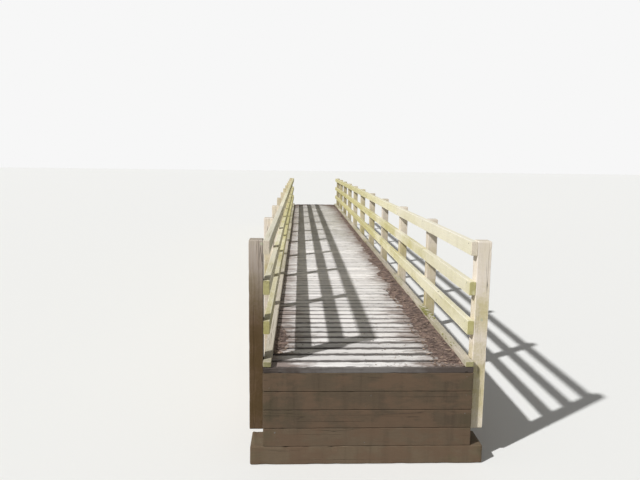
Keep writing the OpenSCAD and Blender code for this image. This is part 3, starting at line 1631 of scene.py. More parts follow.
def bored(mesh: bpy.types.Mesh, bores: Iterable[Bore]) -> bpy.types.Mesh:
    """Bores recesses into a closed mesh.

    Args:
        mesh: The mesh; it is used up.
        bores: The recesses.

    Returns:
        The new mesh.
    """
    bm = bmesh.new()
    for bore in bores:
        add_cylinder(bm, 16, bore.radius, 2 * bore.depth, aimed(bore.mouth, bore.out))
    cutter_mesh = as_mesh(bm, "cutter")
    things = [placed("bored", mesh), placed("cutter", cutter_mesh)]
    cut = things[0].modifiers.new("bore", "BOOLEAN")
    cut.operation = "DIFFERENCE"
    cut.solver = "EXACT"
    cut.object = things[1]
    view = bpy.context.evaluated_depsgraph_get()
    result = bpy.data.meshes.new_from_object(things[0].evaluated_get(view), depsgraph=view)
    for thing in things:
        bpy.data.objects.remove(thing)
    for used in (mesh, cutter_mesh):
        bpy.data.meshes.remove(used)
    return result


def new_piece(name: str, meshes: Iterable[bpy.types.Mesh], finish: Finish) -> bpy.types.Object:
    """Joins meshes into one piece that rides on the bridge.

    Args:
        name: The piece's name.
        meshes: The meshes to join, already in place; they are used up.
        finish: What the piece is finished with.

    Returns:
        The piece.
    """
    bm = bmesh.new()
    for mesh in meshes:
        bm.from_mesh(mesh)
        bpy.data.meshes.remove(mesh)
    joined = as_mesh(bm, name)
    joined.materials.append(finish.material())
    piece = placed(name, joined)
    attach(piece, BODY)
    log.info("%s: %d faces", name, len(joined.polygons))
    return piece


# Steel fixings


def spun(profile: Sequence[tuple[float, float]], steps: int) -> bpy.types.Mesh:
    """Spins a profile round +Z into a closed solid.

    Args:
        profile: Pairs of radius and height, from one pole to the other.
        steps: Number of sides.

    Returns:
        The solid.
    """
    bm = bmesh.new()
    verts = [bm.verts.new((radius, 0.0, height)) for radius, height in profile]
    edges = [bm.edges.new(pair) for pair in zip(verts, verts[1:])]
    bmesh.ops.spin(
        bm,
        geom=[*verts, *edges],
        cent=(0.0, 0.0, 0.0),
        axis=(0.0, 0.0, 1.0),
        angle=2 * math.pi,
        steps=steps,
        use_merge=True,
    )
    bmesh.ops.remove_doubles(bm, verts=bm.verts, dist=1e-6)
    bmesh.ops.recalc_face_normals(bm, faces=bm.faces)
    return as_mesh(bm, "spun")


@dataclass(frozen=True)
class Screw:
    """A countersunk screw head, let in flush.

    Attributes:
        radius: Radius of the head.
        depth: Depth of its cone.
    """

    radius: float = 0.005
    depth: float = 0.006

    def template(self) -> bpy.types.Mesh:
        """Models the screw at the origin, its face at z = 0, looking along +Z.

        Returns:
            A closed solid.
        """
        pit = 0.4 * self.radius
        profile = [
            (0.0, -0.3 * self.depth),
            (0.8 * pit, -0.3 * self.depth),
            (pit, 0.0),
            (self.radius, 0.0),
            (0.45 * self.radius, -self.depth),
            (0.0, -1.2 * self.depth),
        ]
        return spun(profile, 7)


@dataclass(frozen=True)
class Nut:
    """A hexagon nut on a round washer, with the end of its bolt.

    Attributes:
        washer: Radius of the washer.
        across: Radius to the corners of the nut.
        height: Height of the nut.
        bolt: Radius of the bolt.
        stand: How far the bolt's end stands past the nut.
        plate: Thickness of the washer.
    """

    washer: float = 0.017
    across: float = 0.0115
    height: float = 0.009
    bolt: float = 0.006
    stand: float = 0.004
    plate: float = 0.003

    def template(self) -> bpy.types.Mesh:
        """Models the nut at the origin, its washer on z = 0, looking along +Z.

        Returns:
            Three closed solids: the washer, the nut and the bolt's end.
        """
        bm = bmesh.new()
        seat, chamfer = 0.002, 0.0008
        stack = (
            (20, self.washer, self.plate, 0.0),
            (6, self.across, self.height, self.plate),
            (10, self.bolt, self.stand + seat, self.plate + self.height - seat),
        )
        for sides, radius, height, base in stack:
            lift = Matrix.Translation((0.0, 0.0, base + height / 2))
            verts = add_cylinder(bm, sides, radius, height, lift)
            top = max(vert.co.z for vert in verts)
            edges = {edge for vert in verts for edge in vert.link_edges}
            rim = [edge for edge in edges if all(vert.co.z > top - 1e-6 for vert in edge.verts)]
            ease(bm, rim, chamfer)
        return as_mesh(bm, "nut")


@dataclass
class Fixings:
    """Steel fixings of one kind, joined into one piece.

    Attributes:
        name: The piece's name.
        template: The fixing at the origin, looking along +Z.
        places: Where each one sits, and the way it looks.
    """

    name: str
    template: bpy.types.Mesh
    places: list[tuple[Vector, Vector]] = field(default_factory=list)

    def add(self, at: Vector, out: Vector) -> None:
        """Adds one fixing."""
        self.places.append((at, out))

    def build(self) -> bpy.types.Object:
        """Joins the fixings into a piece of weathered zinc.

        Returns:
            The piece.
        """
        meshes = []
        for at, out in self.places:
            copy = self.template.copy()
            copy.transform(aimed(at, out))
            meshes.append(copy)
        bpy.data.meshes.remove(self.template)
        return new_piece(self.name, meshes, ZINC)


# Sub-assemblies


@dataclass
class TimberWork:
    """Timbers of one kind, which stand in for nodes of the frame.

    Attributes:
        nodes: The frame's objects for these timbers, by name.
        slot: The record's material slot.
        finish: The finish of the timbers.
        pieces: The pieces made so far, by the node that each stands for.
    """

    nodes: dict[str, bpy.types.Object]
    slot: str
    finish: WoodFinish
    pieces: dict[str, bpy.types.Object] = field(default_factory=dict)

    def build(self) -> None:
        """Models the timbers of every node."""
        for name, node in self.nodes.items():
            rng = random.Random(name)
            meshes = []
            for number, box in enumerate(solids_of(node)):
                timber = Timber(box, box.grain, rng.randrange(1, 9999), name, number, rng)
                self.shape(timber)
                meshes.append(timber.mesh())
            self.pieces[name] = new_piece(name + "_timber", meshes, self.finish)

    def dress(self) -> None:
        """Hides the frame's nodes that the pieces stand in for."""
        for name, piece in self.pieces.items():
            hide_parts(name)

    def slot_of(self, name: str) -> str:
        """Tells which of the record's slots a node's piece is finished as."""
        return self.slot

    def shape(self, timber: Timber) -> None:
        """Sets a timber's wear, checks and bores: here they stay as they are."""


@dataclass
class Posts(TimberWork):
    """The square posts, bolted to the outer beams through recesses.

    Attributes:
        top_wear: Size of the worn edges round the posts' tops.
        bolt_heights: Heights of the bolts above the underside of the sills.
        bolt_seat: How deep the washers are pressed into the wood.
    """

    top_wear: float = 0.009
    bolt_heights: tuple[float, float] = (0.62, 0.38)
    bolt_seat: float = 0.0005

    def slot_of(self, name: str) -> str:
        """Tells the stouter end posts from the others."""
        return "end_post" if name.endswith(("_post_1", "_post_11")) else self.slot

    def bolt_places(self, name: str) -> list[Vector]:
        """Gives the mouth of each bolt's recess, on the post's outer face.

        Args:
            name: The post's node.

        Returns:
            The middles of the mouths, upper bolt first.
        """
        box = Box.of_node(name)
        face = box.high.x if Side.of(name) is Side.RIGHT else box.low.x
        return [Vector((face, box.middle.y, height)) for height in self.bolt_heights]

    def shape(self, timber: Timber) -> None:
        """Wears the top, opens a few long checks and bores the recesses.

        Args:
            timber: The post.
        """
        rng, name = timber.rng, timber.node
        timber.step = 0.035
        timber.end_arris = self.top_wear
        timber.damp = rng.uniform(0.08, 0.4)
        if name == "left_post_1":
            # Painted shade: the near left post is darkened as if fully damp, most towards its foot.
            timber.damp = 1.0
            timber.checks = [
                Check(Face.TOP, 0.72, 0.6, 1.0, width=0.0025, depth=0.01),
                Check(Face.TOP, 0.35, 0.2, 0.75, width=0.002, depth=0.007),
            ]
        elif name == "right_post_1":
            timber.damp = 0.06
            timber.checks = [
                Check(Face.TOP, 0.8, 0.7, 1.0, width=0.0018, depth=0.006),
                Check(Face.LEFT, 0.5, 0.3, 0.75, width=0.003, depth=0.009),
            ]
        else:
            timber.add_checks(list(Face), rng.choice((1, 2, 2, 3)), 0.6)
        timber.bores = [Bore(mouth, Side.of(name).out) for mouth in self.bolt_places(name)]

    def fix(self, beam_inside: float, rows: Sequence[Box]) -> None:
        """Bolts the posts on.

        Args:
            beam_inside: Distance of the outer beams' inner faces from the bridge's middle.
            rows: The places of the blocks, which leave no room for a nut.
        """
        bolts = Fixings("post_bolts", Nut().template())
        for name in self.nodes:
            out = Side.of(name).out
            for mouth in self.bolt_places(name):
                bolts.add(mouth - out * (Bore.depth + self.bolt_seat), out)
                if all(abs(mouth.y - row.middle.y) > row.size.y for row in rows):
                    bolts.add(Vector((out.x * beam_inside, mouth.y, mouth.z)), -out)
        bolts.build()


@dataclass
class Rails(TimberWork):
    """The rails on the inner faces of the posts, screwed on at each crossing.

    Attributes:
        screw_rise: Height of a crossing's upper screw above its lower one.
        screw_run: Distance between the two along the bridge.
        screw_sink: How deep the screws are let in.
        screw_inset: Least distance of a screw from the rail's end.
        settle: How much lower than the next a length's top may lie.
        near_left_painted_shade: Painted shade, given as extra dampness, on the first lengths on the
            left, beside the near left post.
    """

    screw_rise: float = 0.055
    screw_run: float = 0.05
    screw_sink: float = 0.0006
    screw_inset: float = 0.02
    settle: float = 0.005
    near_left_painted_shade: float = 0.22

    def shape(self, timber: Timber) -> None:
        """Opens splits at the ends and checks along the faces.

        Args:
            timber: One length of rail.
        """
        rng = timber.rng
        inner = Face.RIGHT if Side.of(timber.node) is Side.LEFT else Face.LEFT
        top = timber.box.high - UP * rng.uniform(0.0, self.settle)
        timber.box = Box(timber.box.low, top)
        timber.wear = 0.0045
        timber.damp = rng.uniform(0.0, 0.12)
        # Painted shade: the first lengths on the left are darkened as if damper.
        if inner is Face.RIGHT and timber.number == 0:
            timber.damp += self.near_left_painted_shade
        timber.add_checks((inner, Face.TOP), rng.choice((1, 2)), 0.35)
        split = rng.uniform(0.03, 0.07)
        start = rng.choice((0.0, 1.0 - split))
        across = rng.uniform(0.35, 0.65)
        timber.checks.append(Check(inner, across, start, start + split, depth=0.012))

    def fix(self, posts: Iterable[str]) -> None:
        """Screws the rails to the posts.

        Args:
            posts: The posts' nodes.
        """
        screws = Fixings("rail_screws", Screw(radius=0.006, depth=0.007).template())
        for post in posts:
            side = Side.of(post)
            for name in (name for name in self.nodes if Side.of(name) is side):
                rail = Box.of_node(name)
                face = rail.low.x if side is Side.RIGHT else rail.high.x
                reach = rail.high.y - self.screw_inset
                for shift in (-0.5, 0.5):
                    y = Box.of_node(post).middle.y + shift * self.screw_run
                    z = rail.middle.z + shift * self.screw_rise
                    spot = Vector((face, max(-reach, min(reach, y)), z))
                    screws.add(spot + side.out * self.screw_sink, -side.out)
        screws.build()


@dataclass
class Kerbs(TimberWork):
    """The kerbs, screwed down through the boards.

    Attributes:
        screw_pitch: Distance from one screw to the next.
        first_screw: Place of the first screw along the bridge.
        screw_sink: How deep the screws are let in.
        stagger: How far one length's inner face may stand back from the next one's.
    """

    screw_pitch: float = 0.8
    first_screw: float = -7.6
    screw_sink: float = 0.0015
    stagger: float = 0.012

    def shape(self, timber: Timber) -> None:
        """Wears the kerb well and staggers its lengths.

        Args:
            timber: One length of kerb.
        """
        rng = timber.rng
        low, high = timber.box.low.copy(), timber.box.high.copy()
        if Side.of(timber.node) is Side.RIGHT:
            low.x += rng.uniform(0.0, self.stagger)
        else:
            high.x -= rng.uniform(0.0, self.stagger)
        timber.box = Box(low, high)
        timber.step = 0.03
        timber.arris = 0.006
        timber.end_arris = 0.008
        timber.wear = 0.006
        timber.wave = 0.0015
        timber.damp = rng.uniform(0.0, 0.3)
        timber.add_checks((Face.TOP, Face.LEFT, Face.RIGHT), 3, 0.4)

    def fix(self) -> None:
        """Screws the kerbs down."""
        screws = Fixings("kerb_screws", Screw(radius=0.0075, depth=0.009).template())
        count = round(-2 * self.first_screw / self.screw_pitch) + 1
        for name in self.nodes:
            kerb = Box.of_node(name)
            for number in range(count):
                y = self.first_screw + number * self.screw_pitch
                screws.add(Vector((kerb.middle.x, y, kerb.high.z - self.screw_sink)), UP)
        screws.build()


@dataclass
class Deck(TimberWork):
    """The cross boards, each worn, cupped and shrunk a little in its own way.

    Attributes:
        shrink: How far each long side of a board may have shrunk back.
        uneven: How far each of its ends may stand back.
        settle: How much lower its top may lie.
        cup: How far it may have cupped.
        screw_spread: Distance between the two screws over a beam.
        screw_sink: How deep the screws are let in.
        screw_stray: How far a screw may stray, across the bridge and along it.
    """

    shrink: float = 0.0015
    uneven: float = 0.006
    settle: float = 0.0018
    cup: float = 0.0016
    screw_spread: float = 0.085
    screw_sink: float = 0.0012
    screw_stray: tuple[float, float] = (0.012, 0.006)

    def shape(self, timber: Timber) -> None:
        """Wears, cups and shrinks a board.

        Args:
            timber: The board.
        """
        rng = timber.rng
        low, high = timber.box.low.copy(), timber.box.high.copy()
        low.y += rng.uniform(0.0, self.shrink)
        high.y -= rng.uniform(0.0, self.shrink)
        high.z -= rng.uniform(0.0, self.settle)
        low.x += rng.uniform(0.0, self.uneven)
        high.x -= rng.uniform(0.0, self.uneven)
        timber.box = Box(low, high)
        timber.arris = 0.0045
        timber.end_arris = 0.003
        timber.wear = 0.005
        timber.wave = 0.001
        timber.step = 0.036
        timber.columns = 4
        timber.cup = rng.uniform(-self.cup, self.cup)
        timber.damp = rng.uniform(0.0, 0.2)
        timber.add_checks((Face.TOP,), rng.choice((0, 1, 1, 2)), 0.45)

    def fix(self, beams: Iterable[str]) -> None:
        """Screws the boards to the beams.

        Args:
            beams: The beams' nodes.
        """
        screws = Fixings("deck_screws", Screw().template())
        rng = random.Random("deck screws")
        lines = [Box.of_node(beam).middle.x for beam in beams]
        for node in self.nodes.values():
            for box, line in itertools.product(solids_of(node), lines):
                for shift in (-0.5, 0.5):
                    stray = Vector((*(rng.uniform(-most, most) for most in self.screw_stray), 0.0))
                    spot = Vector((line, box.middle.y + shift * self.screw_spread, box.high.z))
                    screws.add(spot + stray - UP * self.screw_sink, UP)
        screws.build()


@dataclass
class Beams(TimberWork):
    """The laminated beams, tied together by rods beside the rows of blocks.

    Attributes:
        rod_radius: Radius of the tie rods.
        rod_offset: Distance of a rod from the middle of its row of blocks.
    """

    rod_radius: float = 0.008
    rod_offset: float = 0.09

    def shape(self, timber: Timber) -> None:
        """Keeps the long beams plain, with a few checks.

        Args:
            timber: The beam.
        """
        timber.step = 0.1
        timber.wear = 0.003
        timber.damp = 0.25
        timber.add_checks((Face.LEFT, Face.RIGHT), 4, 0.12)

    def fix(self, rows: Sequence[Box]) -> None:
        """Puts in the tie rods, with a nut on the outer face of each outer beam.

        Args:
            rows: The places of the blocks, one for each row.
        """
        right = Box.of_node("right_beam")
        inside, outside = right.low.x, right.high.x
        radius = self.rod_radius
        profile = [(0.0, -inside), (radius, -inside), (radius, inside), (0.0, inside)]
        rods = Fixings("tie_rods", spun(profile, 8))
        nut = Nut(washer=0.03, across=0.014, height=0.013, bolt=radius, stand=0.008, plate=0.005)
        nuts = Fixings("tie_nuts", nut.template())
        for row in rows:
            shift = math.copysign(self.rod_offset, -row.middle.y)
            for share in (0.25, 0.75):
                spot = Vector((0.0, row.middle.y + shift, row.low.z + share * row.size.z))
                rods.add(spot, Side.RIGHT.out)
                for side in Side:
                    nuts.add(spot + side.out * outside, side.out)
        nuts.build()
        rods.build()


@dataclass
class Blocks(TimberWork):
    """The blocks that brace the beams apart."""

    def shape(self, timber: Timber) -> None:
        """Gives a block some dampness and two checks."""
        timber.damp = timber.rng.uniform(0.1, 0.4)
        timber.add_checks((Face.LEFT, Face.RIGHT), 2, 0.6)


@dataclass
class BuriedTimbers(TimberWork):
    """The end boards and the sills, which have stood in soil.

    Attributes:
        leg: Length of each leg of the steel angles that hold the beams to the sills.
        angle_width: Width of an angle.
        plate: Thickness of the steel.
        nut_reach: Distance of an angle's nuts from its corner.
        screw_shift: How far from the middle of a crossing a screw sits above or below it.
        screw_sink: How deep the screws are let in.
    """

    leg: float = 0.065
    angle_width: float = 0.08
    plate: float = 0.006
    nut_reach: float = 0.039
    screw_shift: float = 0.04
    screw_sink: float = 0.0006

    def slot_of(self, name: str) -> str:
        """Tells the sills from the end boards."""
        return "sill" if name.endswith("_sill") else self.slot

    def shape(self, timber: Timber) -> None:
        """Wears a board or a sill.

        Args:
            timber: The timber.
        """
        timber.damp = timber.rng.uniform(0.2, 0.6)
        timber.wear = 0.006
        timber.add_checks((Face.LEFT, Face.RIGHT), 2, 0.5)
        if timber.node.endswith("_sill"):
            timber.arris = 0.008
            timber.end_arris = 0.01
            timber.wear = 0.012
            timber.wave = 0.002

    def fix(self, beams: Sequence[str]) -> None:
        """Screws the end boards on and holds the beams to the sills with steel angles.

        Args:
            beams: The beams' nodes.
        """
        screws = Fixings("end_board_screws", Screw(radius=0.006, depth=0.007).template())
        angles = Fixings("sill_angles", self.angle_template())
        nut = Nut(washer=0.012, across=0.0095, height=0.008, bolt=0.005, stand=0.003)
        nuts = Fixings("angle_nuts", nut.template())
        for end in End:
            boards = solids_of(self.nodes[end.word + "_end_boards"])
            sill = Box.of_node(end.word + "_sill")
            for beam in (Box.of_node(name) for name in beams):
                for board in boards:
                    face = board.high.y if end is End.FAR else board.low.y
                    for shift in (-self.screw_shift, self.screw_shift):
                        spot = Vector((beam.middle.x + shift / 2, face, board.middle.z + shift))
                        screws.add(spot - end.out * self.screw_sink, end.out)
                inward = Side.LEFT if beam.low.x > 0.0 else Side.RIGHT
                edge = beam.high.x if inward is Side.RIGHT else beam.low.x
                corner = Vector((edge, sill.middle.y, sill.high.z))
                angles.add(corner, inward.out)
                nuts.add(corner + inward.out * self.plate + UP * self.nut_reach, inward.out)
                nuts.add(corner + inward.out * self.nut_reach + UP * self.plate, UP)
        for fixing in (screws, angles, nuts):
            fixing.build()

    def angle_template(self) -> bpy.types.Mesh:
        """Models a steel angle whose back stands on z = 0 and whose foot points along +Z.

        Returns:
            A closed solid.
        """
        leg, plate, half = self.leg, self.plate, self.angle_width / 2
        outline = ((0, 0), (0, leg), (plate, leg), (plate, plate), (leg, plate), (leg, 0))
        bm = bmesh.new()
        bm.faces.new([bm.verts.new((-half, rise, out)) for out, rise in outline])
        bmesh.ops.translate(bm, vec=(2 * half, 0.0, 0.0), verts=raised(bm))
        bmesh.ops.recalc_face_normals(bm, faces=bm.faces)
        ease(bm, list(bm.edges), self.plate / 5)
        return as_mesh(bm, "angle")


# What has gathered on the bridge


@dataclass(frozen=True)
class Drift:
    """A heap of soil and leaf litter that lies on the deck.

    Attributes:
        name: The piece's name.
        start: A corner of it on the deck, at the foot of what it lies against.
        run: The vector along its foot.
        reach: The vectors from its foot to its edge, spread evenly along its foot.
        crest: Greatest thickness, at its foot.
        leaves: Number of leaves on and beside it; twice as many crumbs lie among them.
        bed: How far it reaches down into the gaps between the boards.
    """

    name: str
    start: Vector
    run: Vector
    reach: tuple[Vector, ...]
    crest: float
    leaves: int
    bed: float = 0.006

    def edge_at(self, share: float) -> Vector:
        """Gives how far the drift reaches.

        Args:
            share: A place along its foot, from 0 to 1.

        Returns:
            The vector from its foot to its edge there.
        """
        place = share * (len(self.reach) - 1)
        first = min(int(place), len(self.reach) - 2)
        smooth = self.reach[first].lerp(self.reach[first + 1], place - first)
        lobes_per_metre, notches_per_metre = 1.9, 8.0
        along = share * self.run.length
        lobes = noise.noise(Vector((along * lobes_per_metre, 7.0, 0.0)))
        notches = noise.noise(Vector((along * notches_per_metre, 3.0, 0.0)))
        return smooth * (1.0 + 0.55 * lobes + 0.35 * notches)

    def thickness(self, at: Vector, away: float) -> float:
        """Gives how thick the drift lies.

        Args:
            at: A place on the deck.
            away: How far that is from its foot towards its edge, from 0 to 1.

        Returns:
            The thickness; less than 0 where the boards are bare.
        """
        thins_from, end_fade, bare = 0.85, 0.12, 0.12
        flat = Vector((at.x, at.y, 0.0))
        waves = ((6, 0.5), (20, 0.3), (55, 0.2))
        lumps = sum(size * noise.noise(flat * pitch) for pitch, size in waves)
        heap = 0.75 * max(0.0, 1.0 - away) ** 0.8 + 0.9 * lumps
        length = self.run.length
        from_end = length / 2 - abs((at - self.start).dot(self.run) / length - length / 2)
        fade = 4.0 * max(0.0, away - thins_from) + 1.2 * max(0.0, 1.0 - from_end / end_fade)
        return self.crest * (heap - bare - fade)

    def build(self) -> None:
        """Models the heap of soil and scatters leaves over it."""
        step, across = 0.03, 10
        rows = max(2, round(self.run.length / step))
        bm = bmesh.new()
        bmesh.ops.create_grid(bm, x_segments=rows, y_segments=across, size=0.5)
        for vert in bm.verts:
            along, away = vert.co.x + 0.5, vert.co.y + 0.5
            vert.co = self.start + self.run * along + self.edge_at(along) * away - UP * self.bed
        for vert in raised(bm):
            offset = vert.co - self.start
            along = min(1.0, max(0.0, offset.dot(self.run) / self.run.length_squared))
            edge = self.edge_at(along)
            away = min(1.0, max(0.0, offset.dot(edge) / edge.length_squared))
            vert.co.z += self.bed + max(-0.7 * self.bed, self.thickness(vert.co, away))
        bmesh.ops.recalc_face_normals(bm, faces=bm.faces)
        new_piece(self.name + "_soil", [as_mesh(bm, "drift")], SOIL)
        self.scatter_leaves()

    def scatter_leaves(self) -> None:
        """Scatters dead leaves over the drift, and crumbs of leaf and bark far beyond it."""
        rng = random.Random(self.name)
        forms = ((0.3, 0.7), (0.9, 0.55), (1.5, 0.42), (0.5, 0.35), (1.2, 0.8), (0.2, 0.09))
        leaves = [leaf_template(curl, width, 4) for curl, width in forms]
        crumbs = [leaf_template(0.4, width, 2) for width in (0.7, 0.4, 0.2)]
        meshes = []
        for number in range(3 * self.leaves):
            crumb = number >= self.leaves
            lift, smallest, largest = (0.0005, 0.006, 0.02) if crumb else (0.0015, 0.014, 0.036)
            share = rng.random() ** 1.4
            away = 0.2 + 3.3 * rng.random() ** 2.2 if crumb else 1.15 * rng.random()
            at = self.start + self.run * share + self.edge_at(share) * away
            at.z += max(0.0, self.thickness(at, away)) + lift
            turn = Matrix.Rotation(rng.uniform(0.0, 2 * math.pi), 4, "Z")
            tilt = Matrix.Rotation(rng.uniform(-0.12, 0.12), 4, "X")
            size = Matrix.Scale(rng.uniform(smallest, largest), 4)
            leaf = rng.choice(crumbs if crumb else leaves).copy()
            leaf.transform(Matrix.Translation(at) @ turn @ tilt @ size)
            write_mark(leaf, "tone", np.full((len(leaf.vertices), 3), rng.random()))
            meshes.append(leaf)
        for kind in (*leaves, *crumbs):
            bpy.data.meshes.remove(kind)
        new_piece(self.name + "_leaves", meshes, LEAVES)


def leaf_template(curl: float, width: float, parts: int) -> bpy.types.Mesh:
    """Models a dead leaf, one unit long, lying on z = 0.

    Args:
        curl: How far its sides and its tip curl up.
        width: Its greatest width.
        parts: Number of faces along it.

    Returns:
        A thin closed solid.
    """
    bm = bmesh.new()
    bmesh.ops.create_grid(bm, x_segments=2 if parts > 2 else 1, y_segments=parts, size=0.5)
    lobe_depth, stalk, bend, thickness = 0.9, 0.06, 0.12, 0.02
    for vert in bm.verts:
        along = vert.co.y + 0.5
        lobes = noise.noise(Vector((9.0 * curl, 3.0 * vert.co.x, 4.0 * along)))
        belly = stalk + (1.0 - stalk) * math.sin(math.pi * along**0.8)
        vert.co.x *= width * (1.0 + lobe_depth * lobes) * belly
        vert.co.z = curl * (0.35 * abs(vert.co.x) + 0.3 * (along - 0.45) ** 2)
        vert.co.x += bend * math.sin(4.0 * along + 9.0 * curl)
    bmesh.ops.translate(bm, vec=(0.0, 0.0, thickness), verts=raised(bm))
    bmesh.ops.recalc_face_normals(bm, faces=bm.faces)
    return as_mesh(bm, "leaf")


@dataclass(frozen=True)
class MossPatch:
    """Cushions of moss along a stretch of kerb.

    Attributes:
        side: The side of the bridge.
        start: Where the stretch starts along the bridge.
        end: Where it ends.
        cushions: Number of cushions.
        largest: Greatest width of a cushion.
    """

    side: Side
    start: float
    end: float
    cushions: int
    largest: float = 0.05

    def meshes(self, rng: random.Random) -> list[bpy.types.Mesh]:
        """Models the cushions, crowded towards the middle of the stretch.

        Args:
            rng: The source of chance.

        Returns:
            The cushions, in place.
        """
        kerb = Box.of_node(self.side.word + "_kerb")
        inner, outer = kerb.high.x, kerb.low.x
        if self.side is Side.RIGHT:
            inner, outer = outer, inner
        made = []
        for _ in range(self.cushions):
            y = rng.triangular(self.start, self.end)
            x = inner + (outer - inner) * (0.04 + 0.85 * rng.random() ** 1.5)
            width = rng.uniform(0.3, 1.0) * self.largest
            made.append(self.cushion(Vector((x, y, kerb.high.z - 0.002)), width, rng))
        return made

    def cushion(self, at: Vector, width: float, rng: random.Random) -> bpy.types.Mesh:
        """Models one cushion.

        Args:
            at: Its middle, on the kerb.
            width: Its width.
            rng: The source of chance.

        Returns:
            A closed dome.
        """
        bm = bmesh.new()
        bmesh.ops.create_icosphere(bm, subdivisions=2, radius=0.5)
        shift = Vector((rng.uniform(0, 50), rng.uniform(0, 50), 0.0))
        for vert in bm.verts:
            broad, fine = noise.noise(vert.co * 3.0 + shift), noise.noise(vert.co * 8.0 + shift)
            vert.co *= 1.0 + 0.4 * broad + 0.3 * fine
        flat = Vector((width * rng.uniform(0.5, 0.8), width, width * 0.35))
        bmesh.ops.scale(bm, vec=flat, verts=bm.verts)
        bmesh.ops.translate(bm, vec=at, verts=bm.verts)
        mesh = as_mesh(bm, "cushion")
        write_mark(mesh, "tone", np.full((len(mesh.vertices), 3), rng.random()))
        return mesh


# Studio


@dataclass(frozen=True)
class Studio:
    """Camera, light and floor.

    Attributes:
        eye: Where the camera stands.
        yaw: How far it looks to the right of the bridge's axis, in degrees.
        pitch: How far it looks down, in degrees.
        roll: How far its right side is raised, in degrees.
        focal_px: Focal length, in pixels of a picture 640 wide.
        floor: The floor's colour.
        floor_bounce: The colour in which the floor throws light back at the bridge.
        backdrop: Brightness of the background.
        sky: Brightness of the soft light from all round.
        sun: Strength of the key light.
        sun_spread: Angle that the key light fills, in degrees, which softens its shadows.
        sun_turn: How far round from the left side to the near end it stands, in degrees.
        sun_height: How high the key light stands, in degrees.
    """

    eye: Vector
    yaw: float = 2.13
    pitch: float = 7.99
    roll: float = 0.7
    focal_px: float = 551.6
    floor: Tint = (0.94, 0.94, 0.93)
    floor_bounce: Tint = (0.76, 0.76, 0.75)
    backdrop: float = 0.93
    sky: float = 0.2
    sun: float = 3.75
    sun_spread: float = 1.6
    sun_turn: float = 34.8
    sun_height: float = 40.8

    def build(self) -> None:
        """Sets up the whole studio."""
        self.build_camera()
        self.build_floor()
        self.build_light()
        bpy.context.scene.view_settings.view_transform = "Standard"

    def build_camera(self) -> None:
        """Stands the camera where the photograph was taken."""
        picture_width, sensor = 640.0, 36.0
        data = bpy.data.cameras.new("camera")
        data.sensor_fit = "HORIZONTAL"
        data.sensor_width = sensor
        data.lens = self.focal_px / picture_width * sensor
        data.clip_end = 300.0
        camera = placed("camera", data)
        turn = (
            Matrix.Rotation(-math.radians(self.yaw), 4, "Z")
            @ Matrix.Rotation(math.pi / 2 - math.radians(self.pitch), 4, "X")
            @ Matrix.Rotation(math.radians(self.roll), 4, "Z")
        )
        camera.matrix_world = Matrix.Translation(self.eye) @ turn
        bpy.context.scene.camera = camera

    def build_floor(self) -> None:
        """Lays a plain pale floor under the sills."""
        bm = bmesh.new()
        bmesh.ops.create_grid(bm, x_segments=1, y_segments=1, size=140.0)
        mesh = as_mesh(bm, "floor")
        material = bpy.data.materials.new("floor")
        material.use_nodes = True
        shader = material.node_tree.nodes["Principled BSDF"]
        sheet = NodeSheet(material.node_tree)
        seen = sheet.node("ShaderNodeLightPath").outputs["Is Camera Ray"]
        colour = sheet.blend(seen, linear(self.floor_bounce), linear(self.floor))
        sheet.feed(shader.inputs["Base Color"], colour)
        shader.inputs["Roughness"].default_value = 0.95
        mesh.materials.append(material)
        placed("floor", mesh)

    def build_light(self) -> None:
        """Hangs the key light and fills the room with soft light."""
        data = bpy.data.lights.new("key light", "SUN")
        data.energy = self.sun
        data.angle = math.radians(self.sun_spread)
        turn, height = math.radians(self.sun_turn), math.radians(self.sun_height)
        flat = math.cos(height)
        towards = Vector((-math.cos(turn) * flat, -math.sin(turn) * flat, math.sin(height)))
        key = placed("key light", data)
        key.matrix_world = towards.to_track_quat("Z", "Y").to_matrix().to_4x4()

        world = bpy.data.worlds.new("room")
        world.use_nodes = True
        world.node_tree.nodes.clear()
        sheet = NodeSheet(world.node_tree)
        ray = sheet.node("ShaderNodeLightPath")
        seen = sheet.math("MAXIMUM", ray.outputs["Is Camera Ray"], ray.outputs["Is Glossy Ray"])
        strength = sheet.sloped(seen, self.backdrop - self.sky, self.sky)
        background = sheet.node("ShaderNodeBackground", (1.0, 1.0, 1.0, 1.0), strength)
        sheet.node("ShaderNodeOutputWorld", background.outputs[0])
        bpy.context.scene.world = world


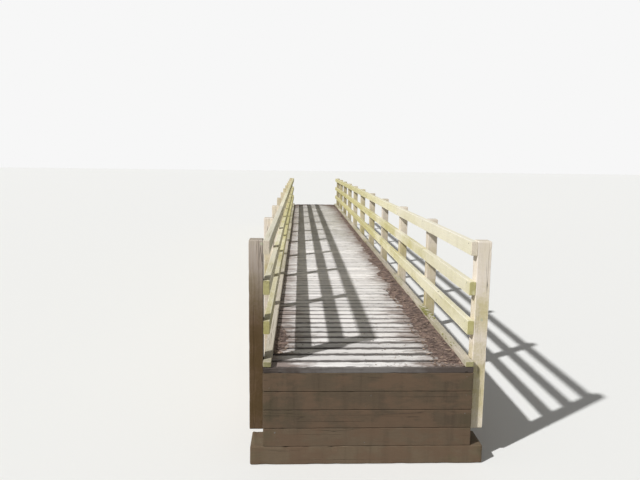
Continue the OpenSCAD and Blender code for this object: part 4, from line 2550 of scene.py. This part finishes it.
def gather_litter() -> None:
    """Lays the soil, leaves and moss that have gathered on the bridge."""
    deck, kerb = Box.of_node("deck_boards_1"), Box.of_node("right_kerb")
    top, inside, end = deck.high.z, kerb.low.x, -deck.low.y
    sunk_in = 0.014
    foot = inside + sunk_in
    right_reaches = (0.20, 0.20, 0.17, 0.125, 0.105, 0.10, 0.085, 0.07, 0.06, 0.055)
    Drift(
        "right_litter",
        start=Vector((foot, -end + 0.02, top)),
        run=Vector((0.0, 2 * end - 0.04, 0.0)),
        reach=tuple(Vector((-reach, 0.0, 0.0)) for reach in right_reaches),
        crest=0.018,
        leaves=1500,
    ).build()
    Drift(
        "left_litter",
        start=Vector((-foot, -end + 0.3, top)),
        run=Vector((0.0, 0.75, 0.0)),
        reach=tuple(Vector((reach, 0.0, 0.0)) for reach in (0.06, 0.12, 0.11, 0.04)),
        crest=0.01,
        leaves=90,
    ).build()
    Drift(
        "far_litter",
        start=Vector((foot, end - 0.03, top)),
        run=Vector((-2 * foot, 0.0, 0.0)),
        reach=tuple(Vector((0.0, -reach, 0.0)) for reach in (1.0, 0.35, 0.2, 0.3, 0.8)),
        crest=0.01,
        leaves=380,
    ).build()
    rng = random.Random("moss")
    patches = (
        MossPatch(Side.RIGHT, -6.95, -6.35, 90, 0.036),
        MossPatch(Side.RIGHT, -7.9, -7.3, 14, 0.024),
        MossPatch(Side.RIGHT, -5.9, -4.6, 12, 0.026),
        MossPatch(Side.RIGHT, -2.0, 6.0, 26, 0.03),
        MossPatch(Side.LEFT, -3.0, 7.0, 16, 0.03),
    )
    new_piece("kerb_moss", [mesh for patch in patches for mesh in patch.meshes(rng)], MOSS)


def pick(nodes: dict[str, bpy.types.Object], *words: str) -> dict[str, bpy.types.Object]:
    """Picks the nodes whose names hold one of some words."""
    return {name: node for name, node in nodes.items() if any(word in name for word in words)}


def main() -> None:
    """Builds the bridge's looks in order."""
    logging.basicConfig(level=logging.INFO, format="%(name)s %(message)s", stream=sys.stdout)
    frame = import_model()
    nodes = frame["nodes"]
    near_post = Box.of_node("left_post_1")
    beside, behind, above = -0.53, 4.019, 0.566
    eye = Vector((beside, near_post.low.y - behind, near_post.high.z + above))
    Studio(eye=eye).build()

    posts = Posts(pick(nodes, "_post_"), "post", POST_WOOD)
    rails = Rails(pick(nodes, "_rail"), "rail", RAIL_WOOD)
    kerbs = Kerbs(pick(nodes, "_kerb"), "kerb", KERB_WOOD)
    deck = Deck(pick(nodes, "deck_boards"), "deck", BOARD_WOOD)
    beams = Beams(pick(nodes, "_beam"), "beam", BEAM_WOOD)
    blocks = Blocks(pick(nodes, "_blocks"), "block", BLOCK_WOOD)
    buried = BuriedTimbers(pick(nodes, "_end_boards", "_sill"), "end_board", BURIED_WOOD)
    for part in (posts, rails, kerbs, deck, beams, blocks, buried):
        part.build()
        part.dress()

    rows = solids_of(nodes["right_blocks"])
    posts.fix(Box.of_node("right_beam").low.x, rows)
    rails.fix(posts.nodes)
    kerbs.fix()
    deck.fix(beams.nodes)
    beams.fix(rows)
    buried.fix(list(beams.nodes))
    gather_litter()


if __name__ == "__main__":
    main()
